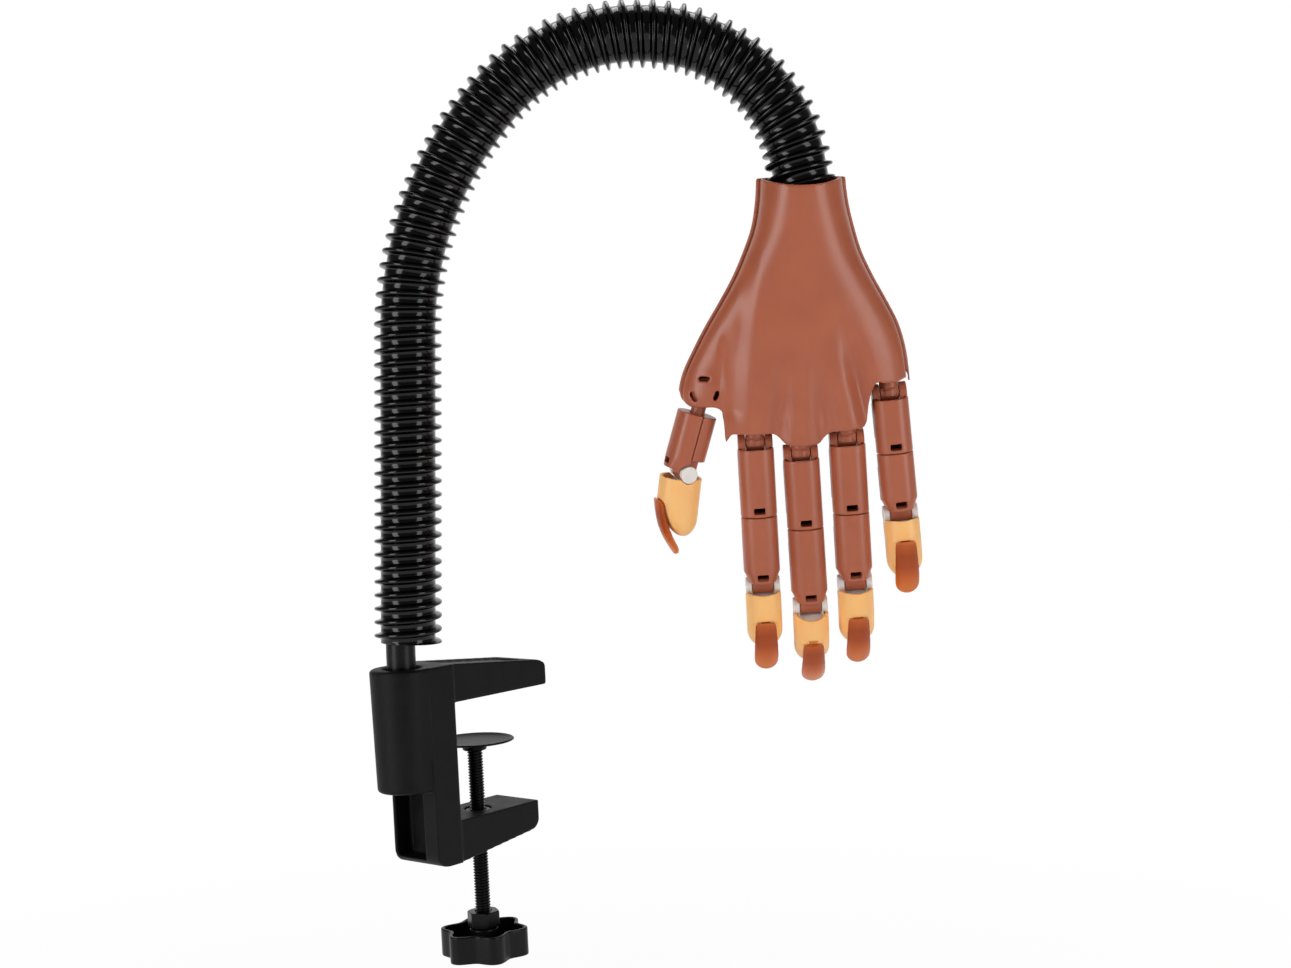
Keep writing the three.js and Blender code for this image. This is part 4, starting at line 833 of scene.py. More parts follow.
# Height, left and right edges, depth to the back and to the palm, squareness
HAND_SECTIONS = [
    (0, -18.5, 18.5, 18.2, 18.2, 2),
    (-10.5, -19.2, 19.7, 17.6, 17.6, 2.1),
    (-20.6, -21, 22, 17, 17, 2.2),
    (-30.7, -24.7, 25, 16.4, 16.6, 2.3),
    (-40.7, -29.2, 29.6, 15.8, 16.3, 2.4),
    (-50.8, -34.9, 35.1, 15.3, 16, 2.4),
    (-60.9, -41, 40.2, 15, 15.6, 2.4),
    (-71, -46.4, 43.2, 14.4, 15, 2.4),
    (-81.1, -51, 44.7, 13.6, 14.2, 2.4),
    (-91, -52.4, 45.4, 12.6, 13.2, 2.5),
    (-101, -49, 45.6, 11.6, 12.4, 2.6),
    (-112, -44, 45.8, 10.6, 11.6, 2.7),
]
HAND_LENGTH = 112
PALM_RIM = 1.6
SHELL_WALL = 2.2
# The palm's screws: where each one stands, and the sizes of its boss, its holes and its seat
SCREW_PLACES = [(0, -44), (-22, -79), (22, -79)]
SCREW_BOSS_RADIUS = 4.4
SCREW_HOLE_RADIUS = 1.8
SCREW_HEAD_ROOM_RADIUS = 3.1
SCREW_SEAT = 4.8
LOBE_BOSS_RADIUS = 9
WRIST_DIP_Z = 55
WRIST_DIP_RADIUS = 57.5
CREASE_X = -32.6
CREASE_DEPTH = 2
RIDGE_X = -14.5
RIDGE_LEAN = 0.085
FLANK_DEPTH = 1.5
LOBE_DOME = 1.1
# The valleys between the tendons: depth, and how far down the hand each begins and is full
VALLEYS = [(3.5, 62, 100), (3.7, 62, 100), (4.8, 54, 88)]
VALLEY_WIDTH = 3.9
# The valleys fan out from here, and are as far apart as the fingers at twice this far down
FAN_START = 52
# The lobe's arc slots: the middle of each and half its span in degrees, and its outer and inner edge
LOBE_SLOT_MIDDLES = (90, 208, 340)
LOBE_SLOT_HALF = 24
LOBE_SLOT_RADII = (6.2, 4.3)
# The socket of a knuckle's stem: its place above the hinge, and the room that the stem turns in
SOCKET_START = 7.4
SOCKET_END = 13.4
STEM_ROOM_RADIUS = 4.2
STEM_HEAD_ROOM_RADIUS = 5.8
STEM_HEAD_ROOM_END = 16.5
# The thumb's knuckle: the half height and radius of its room, the post in it, and its stem's room
THUMB_ROOM_HALF = 4.4
THUMB_ROOM_RADIUS = 6
THUMB_POST_RADIUS = 2.4
THUMB_STEM_ROOM_RADIUS = 3.9


def oval(z, left, right, back, palm, power, count=64):
    """A rounded-rectangle ring at one height, from left to right in x and from back to palm in y"""
    ring = []
    for angle in full_turn(count, 0.5):
        c, s = math.cos(angle), math.sin(angle)
        x = math.copysign(abs(c) ** (2 / power), c)
        y = math.copysign(abs(s) ** (2 / power), s)
        ring.append(((left + right) / 2 + x * (right - left) / 2,
                     (back + palm) / 2 + y * (palm - back) / 2, z))
    return ring


def section_between(z):
    """The hand's section at a height, from a smooth curve through the listed ones"""
    rows = HAND_SECTIONS
    last = len(rows) - 3
    i = next((k for k in range(last) if rows[k + 1][0] <= z), last)
    before, low, high, after = rows[max(0, i - 1)], rows[i], rows[i + 1], rows[i + 2]
    t = (z - low[0]) / (high[0] - low[0])
    values = []
    for k in range(1, 6):
        a, b, c, d = before[k], low[k], high[k], after[k]
        values.append(b + 0.5 * t * (c - a + t * (2 * a - 5 * b + 4 * c - d + t * (3 * (b - c) + d - a))))
    return values


def relief(x, z):
    """How far the back sinks: valleys between the tendons, the flank beside the first finger's ridge,
    a crease beside the thumb's lobe, and the lobe's dome"""
    down = -z
    centres = [finger["x"] for finger in FINGERS.values()]
    fan = 0.55 + 0.45 * min(1.1, (down - FAN_START) / FAN_START)
    sink = 0
    for a, b, (depth, low, high) in zip(centres, centres[1:], VALLEYS):
        middle = (a + b) / 2 * fan
        sink += depth * smoothstep(down, low, high) * math.exp(-(((x - middle) / VALLEY_WIDTH) ** 2))
    ridge = RIDGE_X - RIDGE_LEAN * down
    sink += FLANK_DEPTH * smoothstep(down, 14, 40) * smoothstep(ridge - x, 0, 8)
    across = x - CREASE_X
    width = 2 if across < 0 else 5.5
    crease = smoothstep(down, 58, 76) * (1 - smoothstep(down, 94, 102))
    sink += CREASE_DEPTH * crease * math.exp(-((across / width) ** 2))
    from_pivot = math.hypot(x - THUMB_X, z - THUMB_Z)
    return sink - LOBE_DOME * (1 - smoothstep(from_pivot, 3, 10))


def hand_loft(inset, rim, extend=0):
    """The hand's form at an inset. Rim narrows its sides further, and extend lengthens both its ends."""
    rings = []
    steps = 75
    for i in range(steps + 1):
        z = -HAND_LENGTH * i / steps
        left, right, back, palm, power = section_between(z)
        height = z + (extend if i == 0 else -extend if i == steps else 0)
        side = inset + rim
        ring = oval(height, left + side, right - side, inset - back, palm - inset, power, 160)
        rings.append([(x, y + relief(x, z) * (-y / back) if y < 0 else y, h) for x, y, h in ring])
    return loft(rings)


def hand_outline(above_hinge, step_back):
    """The lower edge steps along the knuckles and rounds the thumb's lobe"""
    (index, index_edge), (middle, middle_edge), (ring, ring_edge), (little, little_edge) = [
        (finger["x"], finger["z"] + above_hinge) for finger in FINGERS.values()]
    half = HALF_WIDTH
    side_x = little + half + 2 * GAP
    side_end = FINGERS["little"]["z"] + EDGE_ABOVE_HINGE
    ring_side = ring + half + 0.6 - step_back
    lobe_end = THUMB_Z - LOBE_EDGE
    lobe_side = THUMB_X - LOBE_SIDE
    return outline([(-70, 20), (70, 20), (70, side_end), (side_x, side_end)], [
        ((side_x, little_edge + 1.5), (little + half - 2, little_edge + 1.5)),
        ((little, little_edge - 1), (little - half + 2, little_edge + 1)),
        ((little - half - 1 - step_back, little_edge), (ring_side, ring_edge + 6)),
        ((ring_side - 0.2, ring_edge + 1), (ring_side - 2.6, ring_edge + 0.6)),
        (ring - half + 2, ring_edge - 0.4),
        ((ring - half - 1, ring_edge - 1), (middle + half, middle_edge + 0.8)),
        ((middle + half - 1, middle_edge), (middle + half - 3, middle_edge)),
        (middle - half + 3, middle_edge),
        ((middle - half + 1, middle_edge), (middle - half - 0.6, middle_edge + 2)),
        ((middle - half - 3, index_edge), (index + half - 2, index_edge)),
        (index - half - 2.4, index_edge),
        (index - half - 5, index_edge - (3.6 if step_back == 0 else 0)),
        ((index - half - 5.4, index_edge + 3), (index - half - 6, index_edge + 9)),
        ((THUMB_X + 6.5, lobe_end + 0.4), (THUMB_X + 2, lobe_end + 0.2)),
        ((THUMB_X, lobe_end - 0.2), (THUMB_X - 3.5, lobe_end)),
        ((lobe_side + 0.4, lobe_end), (lobe_side, THUMB_Z - 0.5)),
        (-70, THUMB_Z - 0.5)])


def lobe_slots():
    slots = []
    for middle in LOBE_SLOT_MIDDLES:
        points = []
        for radius, way in zip(LOBE_SLOT_RADII, (1, -1)):
            for offset in range(-LOBE_SLOT_HALF, LOBE_SLOT_HALF + 1, 4):
                angle = math.radians(middle + way * offset)
                points.append((THUMB_X + radius * math.cos(angle), THUMB_Z + radius * math.sin(angle)))
        slots.append(plate(points, -30, -4.3))
    return slots


def finger_place(finger):
    """Where a finger's knuckle hinge lies in the hand, and how the finger splays"""
    return shift(finger["x"], 0, finger["z"]) @ turn("Y", -finger["splay"])


def stem_room():
    return turned([(0, 0), (STEM_ROOM_RADIUS, 0), (STEM_ROOM_RADIUS, SOCKET_END),
                   (STEM_HEAD_ROOM_RADIUS, SOCKET_END), (STEM_HEAD_ROOM_RADIUS, STEM_HEAD_ROOM_END),
                   (0, STEM_HEAD_ROOM_END)], 32)


def ear_room():
    end = KNUCKLE_EAR_OUTER + GAP
    return rod("x", -end, end, HINGE_Y, 0, KNUCKLE_EAR_RADIUS + GAP)


def thumb_rooms():
    """The spaces that the thumb's knuckle swings in: a ring round the pivot's post, and its stem's sweep"""
    half = THUMB_ROOM_HALF
    rooms = [cut(rod("y", -half, half, 0, 0, THUMB_ROOM_RADIUS),
                 rod("y", -half - 1, half + 1, 0, 0, THUMB_POST_RADIUS, 24))]
    for share in (-0.05, 0.2, 0.4, 0.6, 0.8, 1.05):
        swing = THUMB_SWING[0] + (THUMB_SWING[1] - THUMB_SWING[0]) * share
        stem = rod("z", -30, -half, 0, 0, THUMB_STEM_ROOM_RADIUS, 24)
        rooms.append(moved(stem, turn("Y", THUMB_LEAN + swing)))
    return [moved(room, shift(THUMB_X, 0, THUMB_Z)) for room in rooms]


def hand_shell(is_back):
    """One shell: its wall, the blocks and bosses inside it, and the rooms of the pieces that it holds"""
    rim = PALM_RIM if is_back else 0
    shell = cut(hand_loft(0, rim), hand_loft(SHELL_WALL, rim, 1))
    inside = hand_loft(1.1, PALM_RIM)
    at_fingers = [finger_place(finger) for finger in FINGERS.values()]
    blocks = [moved(box(-6, 6, -20, 20, SOCKET_START, SOCKET_END), matrix) for matrix in at_fingers]
    bosses = [rod("y", -25, 25, x, z, SCREW_BOSS_RADIUS, 24) for x, z in SCREW_PLACES]
    lobe = rod("y", -25, 25, THUMB_X, THUMB_Z, LOBE_BOSS_RADIUS, 32)
    extras = keep_inside(join(blocks[0], *blocks[1:], *bosses, lobe), inside)
    join(shell, extras)
    rooms = [moved(room(), matrix) for room in (stem_room, ear_room) for matrix in at_fingers]
    holes = [rod("y", -3, 30, x, z, SCREW_HOLE_RADIUS, 24) for x, z in SCREW_PLACES]
    cut(shell, *rooms, *holes, *thumb_rooms())
    if is_back:
        keep_inside(shell, plate(hand_outline(EDGE_ABOVE_HINGE, 0), -30, 30))
        dip = rod("y", -30, 0, 0, WRIST_DIP_Z, WRIST_DIP_RADIUS, 96)
        cut(shell, box(-80, 80, -GAP / 2, 40, -140, 40), *lobe_slots(), dip)
    else:
        keep_inside(shell, plate(hand_outline(PALM_EDGE_ABOVE_HINGE, PALM_STEP_BACK), -30, 30))
        heads = [rod("y", 4.5, 30, x, z, SCREW_HEAD_ROOM_RADIUS, 32) for x, z in SCREW_PLACES]
        cut(shell, box(-80, 80, -40, GAP / 2, -140, 40), *heads)
    return moulded(shell, 0.5, 7, 0.4)


def place_skin(obj, name, body, matrix, node):
    """Places a piece of the hand's brown plastic"""
    place(obj, name, body, "skin_plastic", moulded_abs, matrix, [node])


place_skin(hand_shell(True), "back_of_hand", "hand", HAND, "back_shell")
place_skin(hand_shell(False), "palm_of_hand", "hand", HAND, "palm_shell")
refinish(moulded_abs, "wrist_bulkhead")
refinish(zinc_plated_steel, "end_collar")


def shell_screw(x, z):
    """A pan-head screw with a cross recess"""
    seat = SCREW_SEAT
    head = turned([(0, seat + 1.8), (1.6, seat + 1.7), (2.5, seat + 1.1), (2.8, seat + 0.4), (2.8, seat),
                   (1.5, seat), (1.5, seat - 6.2), (0, seat - 6.2)], 40)
    recess = [box(-u, u, -v, v, seat + 0.9, seat + 3) for u, v in ((1.5, 0.3), (0.3, 1.5))]
    return moved(cut(head, *recess), shift(x, 0, z) @ turn("X", -90))


for i, (x, z) in enumerate(SCREW_PLACES):
    keep_edges_sharp(place(shell_screw(x, z), f"palm_screw_{i + 1}", "hand", "bright_steel",
                           zinc_plated_steel, HAND, [f"shell_screw_{i + 1}"]))

# Fingers

WELL_FRONT = 3  # the windows open into wells this far past the middle of the finger, which makes them dark


def segment_ring(z, half_width=HALF_WIDTH, inset=0):
    depth = HALF_DEPTH - inset
    return oval(z, -half_width + inset, half_width - inset, -depth, depth, SEGMENT_POWER)


def prism(top, bottom, inset=0):
    return loft([segment_ring(bottom, HALF_WIDTH, inset), segment_ring(top, HALF_WIDTH, inset)])


def ears(z, inner, outer, radius, reach):
    """A pair of plates with round ends on one hinge, and pegs that reach into the eye between them"""
    parts = []
    for side in (-1, 1):
        low, high = sorted((side * inner, side * outer))
        parts.append(rod("x", low, high, HINGE_Y, z, radius))
        parts.append(box(low, high, HINGE_Y - radius, HINGE_Y + radius, z - reach, z))
        peg = sorted((side * 0.4, side * (inner + 0.5)))
        parts.append(rod("x", *peg, HINGE_Y, z, PIN_RADIUS, 24))
    return parts


def eye(z, half, radius, reach):
    """The round end between a pair of ears, with the hole for their pegs"""
    barrel = rod("x", -half, half, HINGE_Y, z, radius)
    join(barrel, box(-half, half, HINGE_Y - radius, HINGE_Y + radius, z, z + reach))
    return cut(barrel, rod("x", -10, 10, HINGE_Y, z, PIN_RADIUS + GAP, 24))


def knuckle():
    """A ball-ended stem that turns in the hand, with a ring where it meets the hinge's eye"""
    barrel = rod("x", -KNUCKLE_EYE_HALF, KNUCKLE_EYE_HALF, HINGE_Y, 0, EYE_RADIUS)
    stem = turned([(0, -1.5), (3.5, -1.5), (3.6, 1.2), (3.3, 1.4), (3.3, 1.8), (3.75, 2.1), (3.9, 2.6),
                   (3.9, 13.7), (5.2, 13.7), (5.2, 15.9), (0, 15.9)], 40)
    join(barrel, stem)
    cut(barrel, rod("x", -10, 10, HINGE_Y, 0, PIN_RADIUS + GAP, 24))
    return moulded(barrel, 0.22, 2, 0.25)


def between(y0, y1, top, bottom):
    """A block round a segment, from one depth to another"""
    return box(-20, 20, y0, y1, bottom - 1, top + 1)


def palm_half(top, bottom):
    return keep_inside(prism(top, bottom), between(GAP / 2, 20, top, bottom))


def window(end, front):
    """The opening behind a cover's window, from in front of the cover to a depth"""
    bottom = end + WINDOW_ABOVE_END
    return box(-WINDOW_HALF, WINDOW_HALF, -20, front, bottom, bottom + WINDOW_HEIGHT)


def cover_room(top, bottom):
    """The space that a cover's wall takes, with the gap round it"""
    room = cut(prism(top, bottom, -1), prism(top + 1, bottom - 1, COVER_WALL + GAP))
    return keep_inside(room, between(-20, GAP / 2, top, bottom))


def first_body(length):
    main = palm_half(-EYE_RADIUS - 2 * GAP, -length + BODY_END)
    parts = ears(0, KNUCKLE_EYE_HALF + GAP, KNUCKLE_EAR_OUTER, KNUCKLE_EAR_RADIUS, BODY_END + 1)
    for part in parts:
        keep_inside(part, prism(KNUCKLE_EAR_RADIUS + 1, -length))
        cut(part, cover_room(-COVER_BELOW_KNUCKLE + GAP, -length))
    join(main, *parts, eye(-length, TONGUE_HALF, EYE_RADIUS, BODY_END + 1))
    cut(main, window(-length + GAP / 2, WELL_FRONT))
    return moulded(main)


def second_body(length):
    main = palm_half(-BODY_END, -length + BODY_END)
    inner = TONGUE_HALF + GAP
    join(main, *ears(0, inner, inner + SECOND_EAR_WIDTH, SECOND_EAR_RADIUS, BODY_END + 1),
         eye(-length, TONGUE_HALF, TIP_EAR_RADIUS, BODY_END + 1))
    cut(main, window(-length + COVER_ABOVE_TIP, WELL_FRONT))
    return moulded(main)


def cover(outer, inner, top, bottom, *rooms):
    """The wall between two solids on the finger's back, with its window and the rooms of other pieces"""
    shell = keep_inside(cut(outer, inner), between(-20, -GAP / 2, top, bottom))
    cut(shell, window(bottom, -3), *rooms)
    return moulded(shell)


def tip_ear_room(length):
    return rod("x", -20, 20, HINGE_Y, -length, TIP_EAR_RADIUS + 2 * GAP)


def first_cover(length):
    top = -COVER_BELOW_KNUCKLE
    bottom = -length + GAP / 2
    return cover(prism(top, bottom), prism(top + 1, bottom - 1, COVER_WALL), top, bottom)


def nosed_rings(top, bottom, inset, extra):
    """Rings of a cover whose lower end narrows between two shoulders"""
    shoulder = bottom + COVER_SHOULDER
    return [segment_ring(bottom - extra, COVER_NOSE_HALF, inset),
            segment_ring(shoulder - 1, HALF_WIDTH - 0.5, inset),
            segment_ring(shoulder, HALF_WIDTH, inset),
            segment_ring(top + extra, HALF_WIDTH, inset)]


def second_cover(length):
    top = -GAP / 2
    bottom = -length + COVER_ABOVE_TIP
    outer = loft(nosed_rings(top, bottom, 0, 0))
    inner = loft(nosed_rings(top, bottom, COVER_WALL, 1))
    return cover(outer, inner, top, bottom, tip_ear_room(length))


def pocket_ring(z, inset):
    half_width = CAP_HALF_WIDTH - inset
    half_depth = CAP_HALF_DEPTH - inset
    return oval(z, -half_width, half_width, -half_depth, half_depth, SEGMENT_POWER, 48)


def tip_insert():
    """The white block in a cap's pocket, with two ears on their necks"""
    inner = TONGUE_HALF + GAP
    inset = CAP_WALL + GAP
    block_top = -TIP_EAR_RADIUS - 2 * GAP
    block = loft([pocket_ring(-CAP_TOP - CAP_POCKET + GAP, inset), pocket_ring(block_top, inset)])
    neck = CAP_HALF_WIDTH - CAP_WALL - 2 * GAP
    half = 0.5 * TIP_EAR_RADIUS
    parts = ears(0, inner, inner + TIP_EAR_WIDTH, TIP_EAR_RADIUS, 0.5)
    for side in (-1, 1):
        low, high = sorted((side * inner, side * neck))
        parts.append(box(low, high, HINGE_Y - half, HINGE_Y + half, block_top - 1, -0.5))
    join(block, *parts)
    return moulded(block, 0.22, 3, 0.25)


def cap_ring(depth, nail_top):
    """The cap's back slopes from where the nail begins, to make its bed"""
    end = min(1, max(0, (depth - CAP_STRAIGHT) / (CAP_LENGTH - CAP_STRAIGHT)))
    share = math.sqrt(1 - CAP_END_TAPER * end * end)
    slope = min(1, max(0, (depth - nail_top) / (CAP_LENGTH - nail_top)))
    back = CAP_HALF_DEPTH + (CAP_END_DEPTH - CAP_HALF_DEPTH) * slope
    middle = (CAP_HALF_DEPTH - back) / 2
    half = (CAP_HALF_DEPTH + back) / 2 * share
    width = CAP_HALF_WIDTH * share
    return oval(-CAP_TOP - depth, -width, width, middle - half, middle + half, SEGMENT_POWER, 64)


def rim_dip(depth):
    """What is cut from a cap's rim, so that it dips in the middle of the back"""
    return rod("y", -20, -2, 0, DIP_RADIUS - depth - CAP_TOP, DIP_RADIUS, 64)


def nail_slot(nail_top):
    """The end of the slot that a nail slides in, where the nail doesn't cover it"""
    bottom = -CAP_TOP - nail_top + 0.5
    return box(-2.1, 2.1, -CAP_HALF_DEPTH - 1, -CAP_HALF_DEPTH + 2, bottom, bottom + 1.1)


def tip_cap(nail_top, is_middle):
    depths = [0, 3, 6, 8, nail_top, 14, 15.5, CAP_STRAIGHT, 19, 20.5, 21.5, 22.5, 23.4, 24.2, 24.8, 25.2,
              25.45, CAP_LENGTH]
    cap = loft([cap_ring(depth, nail_top) for depth in sorted(depths, reverse=True)])
    pocket = loft([pocket_ring(-CAP_TOP - CAP_POCKET, CAP_WALL), pocket_ring(0, CAP_WALL)])
    dip = rim_dip(MIDDLE_DIP_DEPTH if is_middle else DIP_DEPTH)
    cut(cap, pocket, rod("x", -20, 20, HINGE_Y, 0, TIP_EAR_RADIUS + GAP), nail_solid(nail_top, GAP), dip)
    if is_middle:
        cut(cap, nail_slot(nail_top))
    return moulded(cap, 0.28, 3, 0.25)


def nail_centre(nail_top, along):
    """The nail's crown: it starts proud of the cap and slopes down to the finger's front, with a bow"""
    slope = math.radians(NAIL_SLOPE)
    run = NAIL_LENGTH * along
    bow = NAIL_BOW * math.sin(math.pi * along)
    y = -CAP_HALF_DEPTH - NAIL_PROUD + run * math.sin(slope) - bow * math.cos(slope)
    return y, -CAP_TOP - nail_top - run * math.cos(slope) - bow * math.sin(slope)


def nail_width(along):
    """Rounded corners at the root, widest past the middle, and a round free end"""
    root = min(1, along / 0.09)
    tip = max(0, (along - 0.74) / 0.26)
    sides = 0.87 + 0.13 * smoothstep(along, 0, 0.62)
    return (0.72 + 0.28 * math.sqrt(1 - (1 - root) ** 2)) * sides * math.sqrt(max(0.02, 1 - tip ** 2.4))


def nail_ring(nail_top, along, clearance, count=16):
    y, z = nail_centre(nail_top, along)
    reach = math.asin(min(0.95, (NAIL_HALF_WIDTH * nail_width(along) + clearance) / NAIL_CURVE))
    height = z - clearance * math.copysign(1, along - 0.5)

    def arc(radius):
        angles = [-reach + 2 * reach * i / count for i in range(count + 1)]
        return [(radius * math.sin(a), y + NAIL_CURVE - radius * math.cos(a), height) for a in angles]

    return [*arc(NAIL_CURVE + clearance), *reversed(arc(NAIL_CURVE - NAIL_THICKNESS - clearance))]


def nail_solid(nail_top, clearance):
    """The nail's shell and the tab under its root, which sits in the cap"""
    stations = [0, 0.02, 0.04, 0.07, 0.1, 0.18, 0.3, 0.45, 0.6, 0.7, 0.78, 0.83, 0.88, 0.91, 0.94, 0.965,
                0.985, 1]
    body = loft([nail_ring(nail_top, along, clearance) for along in stations])
    y, z = nail_centre(nail_top, 0)
    half = 1.8 + clearance
    front = y + NAIL_THICKNESS / 2
    tab = box(-half, half, front, front + 3.4 + clearance, z - 1.4 - clearance, z + clearance)
    return join(body, tab)


def nail(nail_top):
    return moulded(nail_solid(nail_top, 0), 0.2, 4, 0.25)


def place_tip(name, frame_matrix, length, flex, nail_top, body):
    tip = frame_matrix @ shift(0, HINGE_Y, -length) @ turn("X", flex) @ shift(0, -HINGE_Y, 0)
    pieces = [(tip_insert(), "tip_lugs", "white_plastic", milky_polypropylene, "tip_insert"),
              (tip_cap(nail_top, name == "middle"), "fingertip", "tip_plastic", soft_vinyl, "tip_cap"),
              (nail(nail_top), "nail_plate", "nail_plastic", polished_nail, "nail")]
    for solid, piece, slot, material, node in pieces:
        place(solid, f"{name}_{piece}", body, slot, material, tip, [f"{name}_{node}"])


for name, finger in FINGERS.items():
    base = HAND @ finger_place(finger)
    second = base @ shift(0, 0, -finger["first"])
    place_skin(knuckle(), f"{name}_knuckle_eye", f"{name}_knuckle_body", base, f"{name}_knuckle")
    for segment, matrix, make_body, make_cover in (("first", base, first_body, first_cover),
                                                   ("second", second, second_body, second_cover)):
        piece = f"{name}_{segment}"
        place_skin(make_body(finger[segment]), f"{piece}_underside", piece, matrix, f"{piece}_body")
        place_skin(make_cover(finger[segment]), f"{piece}_back", piece, matrix, f"{piece}_cover")
    place_tip(name, second, finger["second"], finger["flex"], finger["nail_top"], f"{name}_tip")

# Thumb


def thumb_stem(clearance):
    radius = THUMB_STEM_RADIUS + clearance
    head = THUMB_STEM_HEAD_RADIUS + clearance
    end = THUMB_STEM_END - clearance
    shoulder = THUMB_STEM_SHOULDER + clearance
    return turned([(0, end), (head, end), (head, shoulder), (radius, shoulder), (radius, -3), (0, -3)], 40)


def thumb_knuckle():
    disc = rod("y", -THUMB_DISC_HALF, THUMB_DISC_HALF, 0, 0, THUMB_DISC_RADIUS, 64)
    join(disc, thumb_stem(0))
    cut(disc, rod("y", -10, 10, 0, 0, THUMB_POST_HOLE_RADIUS))
    return moulded(disc, keep=0.25)


def thumb_body():
    main = palm_half(-THUMB_SEGMENT_TOP, -THUMB_LENGTH + BODY_END)
    join(main, eye(-THUMB_LENGTH, TONGUE_HALF, TIP_EAR_RADIUS, BODY_END + 1))
    cut(main, thumb_stem(GAP), window(-THUMB_LENGTH + THUMB_COVER_ABOVE_TIP, WELL_FRONT))
    return moulded(main)


def thumb_cover():
    top = -THUMB_SEGMENT_TOP
    bottom = -THUMB_LENGTH + THUMB_COVER_ABOVE_TIP
    shoulder = bottom + COVER_SHOULDER

    def rings(inset, start, end):
        return [segment_ring(end, COVER_NOSE_HALF, inset), segment_ring(shoulder, HALF_WIDTH, inset),
                segment_ring(start, HALF_WIDTH, inset)]

    outer = loft(rings(0, top, bottom))
    inner = loft(rings(COVER_WALL, top - 1.8, bottom - 1))
    return cover(outer, inner, top, bottom, tip_ear_room(THUMB_LENGTH), thumb_stem(GAP))


THUMB = HAND @ shift(THUMB_X, 0, THUMB_Z) @ turn("Y", THUMB_LEAN)
THUMB_SEGMENT = THUMB @ turn("Z", THUMB_TWIST)
place_skin(thumb_knuckle(), "thumb_knuckle_eye", "thumb_knuckle_body", THUMB, "thumb_knuckle")
place_skin(thumb_body(), "thumb_underside", "thumb_segment", THUMB_SEGMENT, "thumb_body")
place_skin(thumb_cover(), "thumb_back", "thumb_segment", THUMB_SEGMENT, "thumb_cover")
place_tip("thumb", THUMB_SEGMENT, THUMB_LENGTH, THUMB_FLEX, THUMB_NAIL_TOP, "thumb_tip")

# Floor and light, in metres

ROOM_LIGHT = 0.15
FLOOR_HALF = 3
FLOOR_HEIGHT = -0.2
# The floor's glow fades in between these distances, from this share of white
FLOOR_FADE = (0.2, 0.65)
FLOOR_NEAR_WHITE = 0.92
# How squarely a gloss ray has to look at the backdrop: where its white begins and is full
BACKDROP_EDGE = (0.35, 0.95)
SOFTBOX_ANGLE = math.radians(52)
SOFTBOX_DISTANCE = 1.1
LIT_CENTRE = Vector((0.03, -0.06, 0.12))
TALL_BOX = (0.44, 1.4)
OVERHEAD_BOX = (0.7, 0.6)


def pale_floor():
    """A plain white floor that keeps a faint shadow near the object and fades to the white behind it"""
    material, tree = new_material("pale_floor")
    rays = add_node(tree, "ShaderNodeLightPath")
    seen = add_node(tree, "ShaderNodeMath", {"operation": "MAXIMUM"}, {}, {
        0: rays.outputs["Is Camera Ray"], 1: rays.outputs["Is Glossy Ray"]})
    seen_through = add_node(tree, "ShaderNodeMath", {"operation": "MAXIMUM"}, {}, {
        0: seen.outputs[0], 1: rays.outputs["Is Transmission Ray"]})
    place = add_node(tree, "ShaderNodeTexCoord").outputs["Object"]
    away = add_node(tree, "ShaderNodeVectorMath", {"operation": "LENGTH"}, {}, {0: place})
    whiteness = add_node(tree, "ShaderNodeMapRange", links={"Value": away.outputs["Value"]}, inputs={
        "From Min": FLOOR_FADE[0], "From Max": FLOOR_FADE[1], "To Min": FLOOR_NEAR_WHITE, "To Max": 1})
    share = add_node(tree, "ShaderNodeMath", {"operation": "MULTIPLY"}, {}, {
        0: seen_through.outputs[0], 1: whiteness.outputs["Result"]})
    matt = add_node(tree, "ShaderNodeBsdfDiffuse", inputs={"Color": linear("#fafafa")})
    white = add_node(tree, "ShaderNodeEmission", inputs={"Color": linear("#ffffff"), "Strength": 1})
    mixed = add_node(tree, "ShaderNodeMixShader", links={
        0: share.outputs[0], 1: matt.outputs[0], 2: white.outputs[0]})
    finish_material(tree, mixed)
    return material


def set_floor():
    corners = ((-1, -1), (1, -1), (1, 1), (-1, 1))
    points = [(x * FLOOR_HALF, y * FLOOR_HALF, FLOOR_HEIGHT) for x, y in corners]
    floor = mesh_object("floor", points, [(0, 1, 2, 3)])
    floor.data.materials.append(pale_floor())


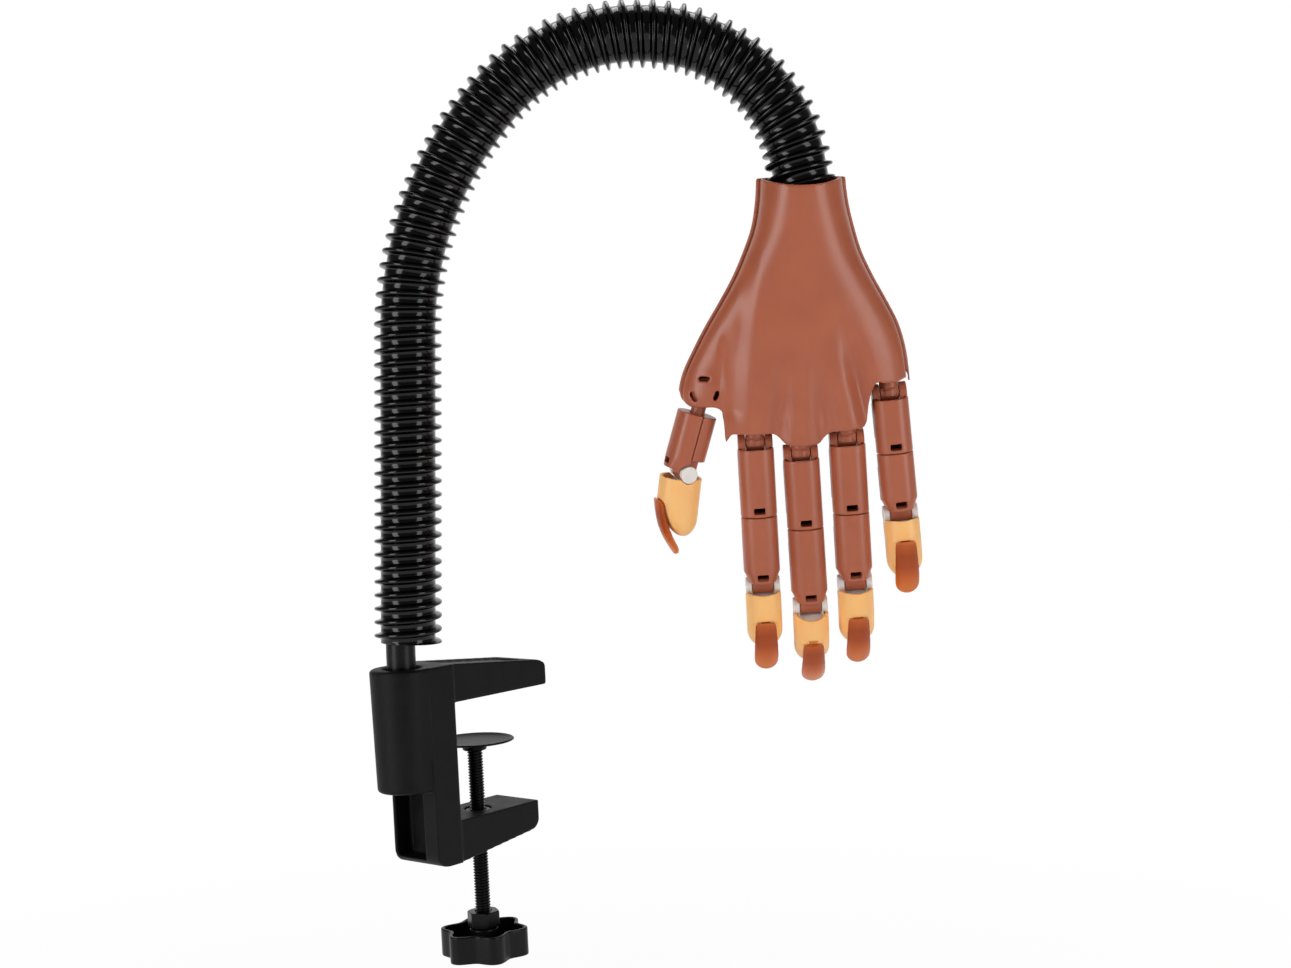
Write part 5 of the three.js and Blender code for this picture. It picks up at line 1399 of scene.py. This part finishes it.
def set_world():
    """White behind the object, also where gloss and clear plastic look that way, and a dim room elsewhere"""
    world = bpy.data.worlds.new("studio")
    bpy.context.scene.world = world
    world.use_nodes = True
    tree = world.node_tree
    tree.nodes.clear()
    rays = add_node(tree, "ShaderNodeLightPath")
    seen = add_node(tree, "ShaderNodeMath", {"operation": "MAXIMUM"}, {}, {
        0: rays.outputs["Is Camera Ray"], 1: rays.outputs["Is Transmission Ray"]})
    direction = add_node(tree, "ShaderNodeTexCoord").outputs["Generated"]
    behind = add_node(tree, "ShaderNodeVectorMath", {"operation": "DOT_PRODUCT"}, {1: VIEW_LEVEL},
                      {0: direction})
    backdrop = add_node(tree, "ShaderNodeMapRange", {"interpolation_type": "SMOOTHSTEP"},
                        {"From Min": BACKDROP_EDGE[0], "From Max": BACKDROP_EDGE[1]},
                        {"Value": behind.outputs["Value"]})
    reflected = add_node(tree, "ShaderNodeMath", {"operation": "MULTIPLY"}, {}, {
        0: rays.outputs["Is Glossy Ray"], 1: backdrop.outputs["Result"]})
    white = add_node(tree, "ShaderNodeMath", {"operation": "MAXIMUM"}, {}, {
        0: seen.outputs[0], 1: reflected.outputs[0]})
    strength = add_node(tree, "ShaderNodeMapRange", inputs={"To Min": ROOM_LIGHT, "To Max": 1},
                        links={"Value": white.outputs[0]})
    background = add_node(tree, "ShaderNodeBackground", inputs={"Color": linear("#ffffff")},
                          links={"Strength": strength.outputs["Result"]})
    add_node(tree, "ShaderNodeOutputWorld", links={"Surface": background.outputs[0]})


def softbox(name, direction, size, watts):
    """A rectangular lamp that faces the object from one direction"""
    data = bpy.data.lights.new(name, "AREA")
    data.shape = "RECTANGLE"
    data.size, data.size_y = size
    data.energy = watts
    lamp = bpy.data.objects.new(name, data)
    aim = direction.normalized()
    lamp.location = LIT_CENTRE + aim * SOFTBOX_DISTANCE
    lamp.rotation_euler = aim.to_track_quat("Z", "Y").to_euler()
    bpy.context.collection.objects.link(lamp)


def set_lights():
    """Two tall softboxes, which draw the two bright strips down the sleeve, and a smaller one overhead"""
    for name, side, watts in (("left_softbox", -1, 10.4), ("right_softbox", 1, 8)):
        direction = -VIEW_LEVEL * math.cos(SOFTBOX_ANGLE) + VIEW_RIGHT * side * math.sin(SOFTBOX_ANGLE)
        softbox(name, direction, TALL_BOX, watts)
    softbox("top_softbox", VIEW_LEVEL * 0.4 + Vector((0, 0, 1)), OVERHEAD_BOX, 6)


set_floor()
set_world()
set_lights()
bpy.context.scene.view_settings.view_transform = "Standard"
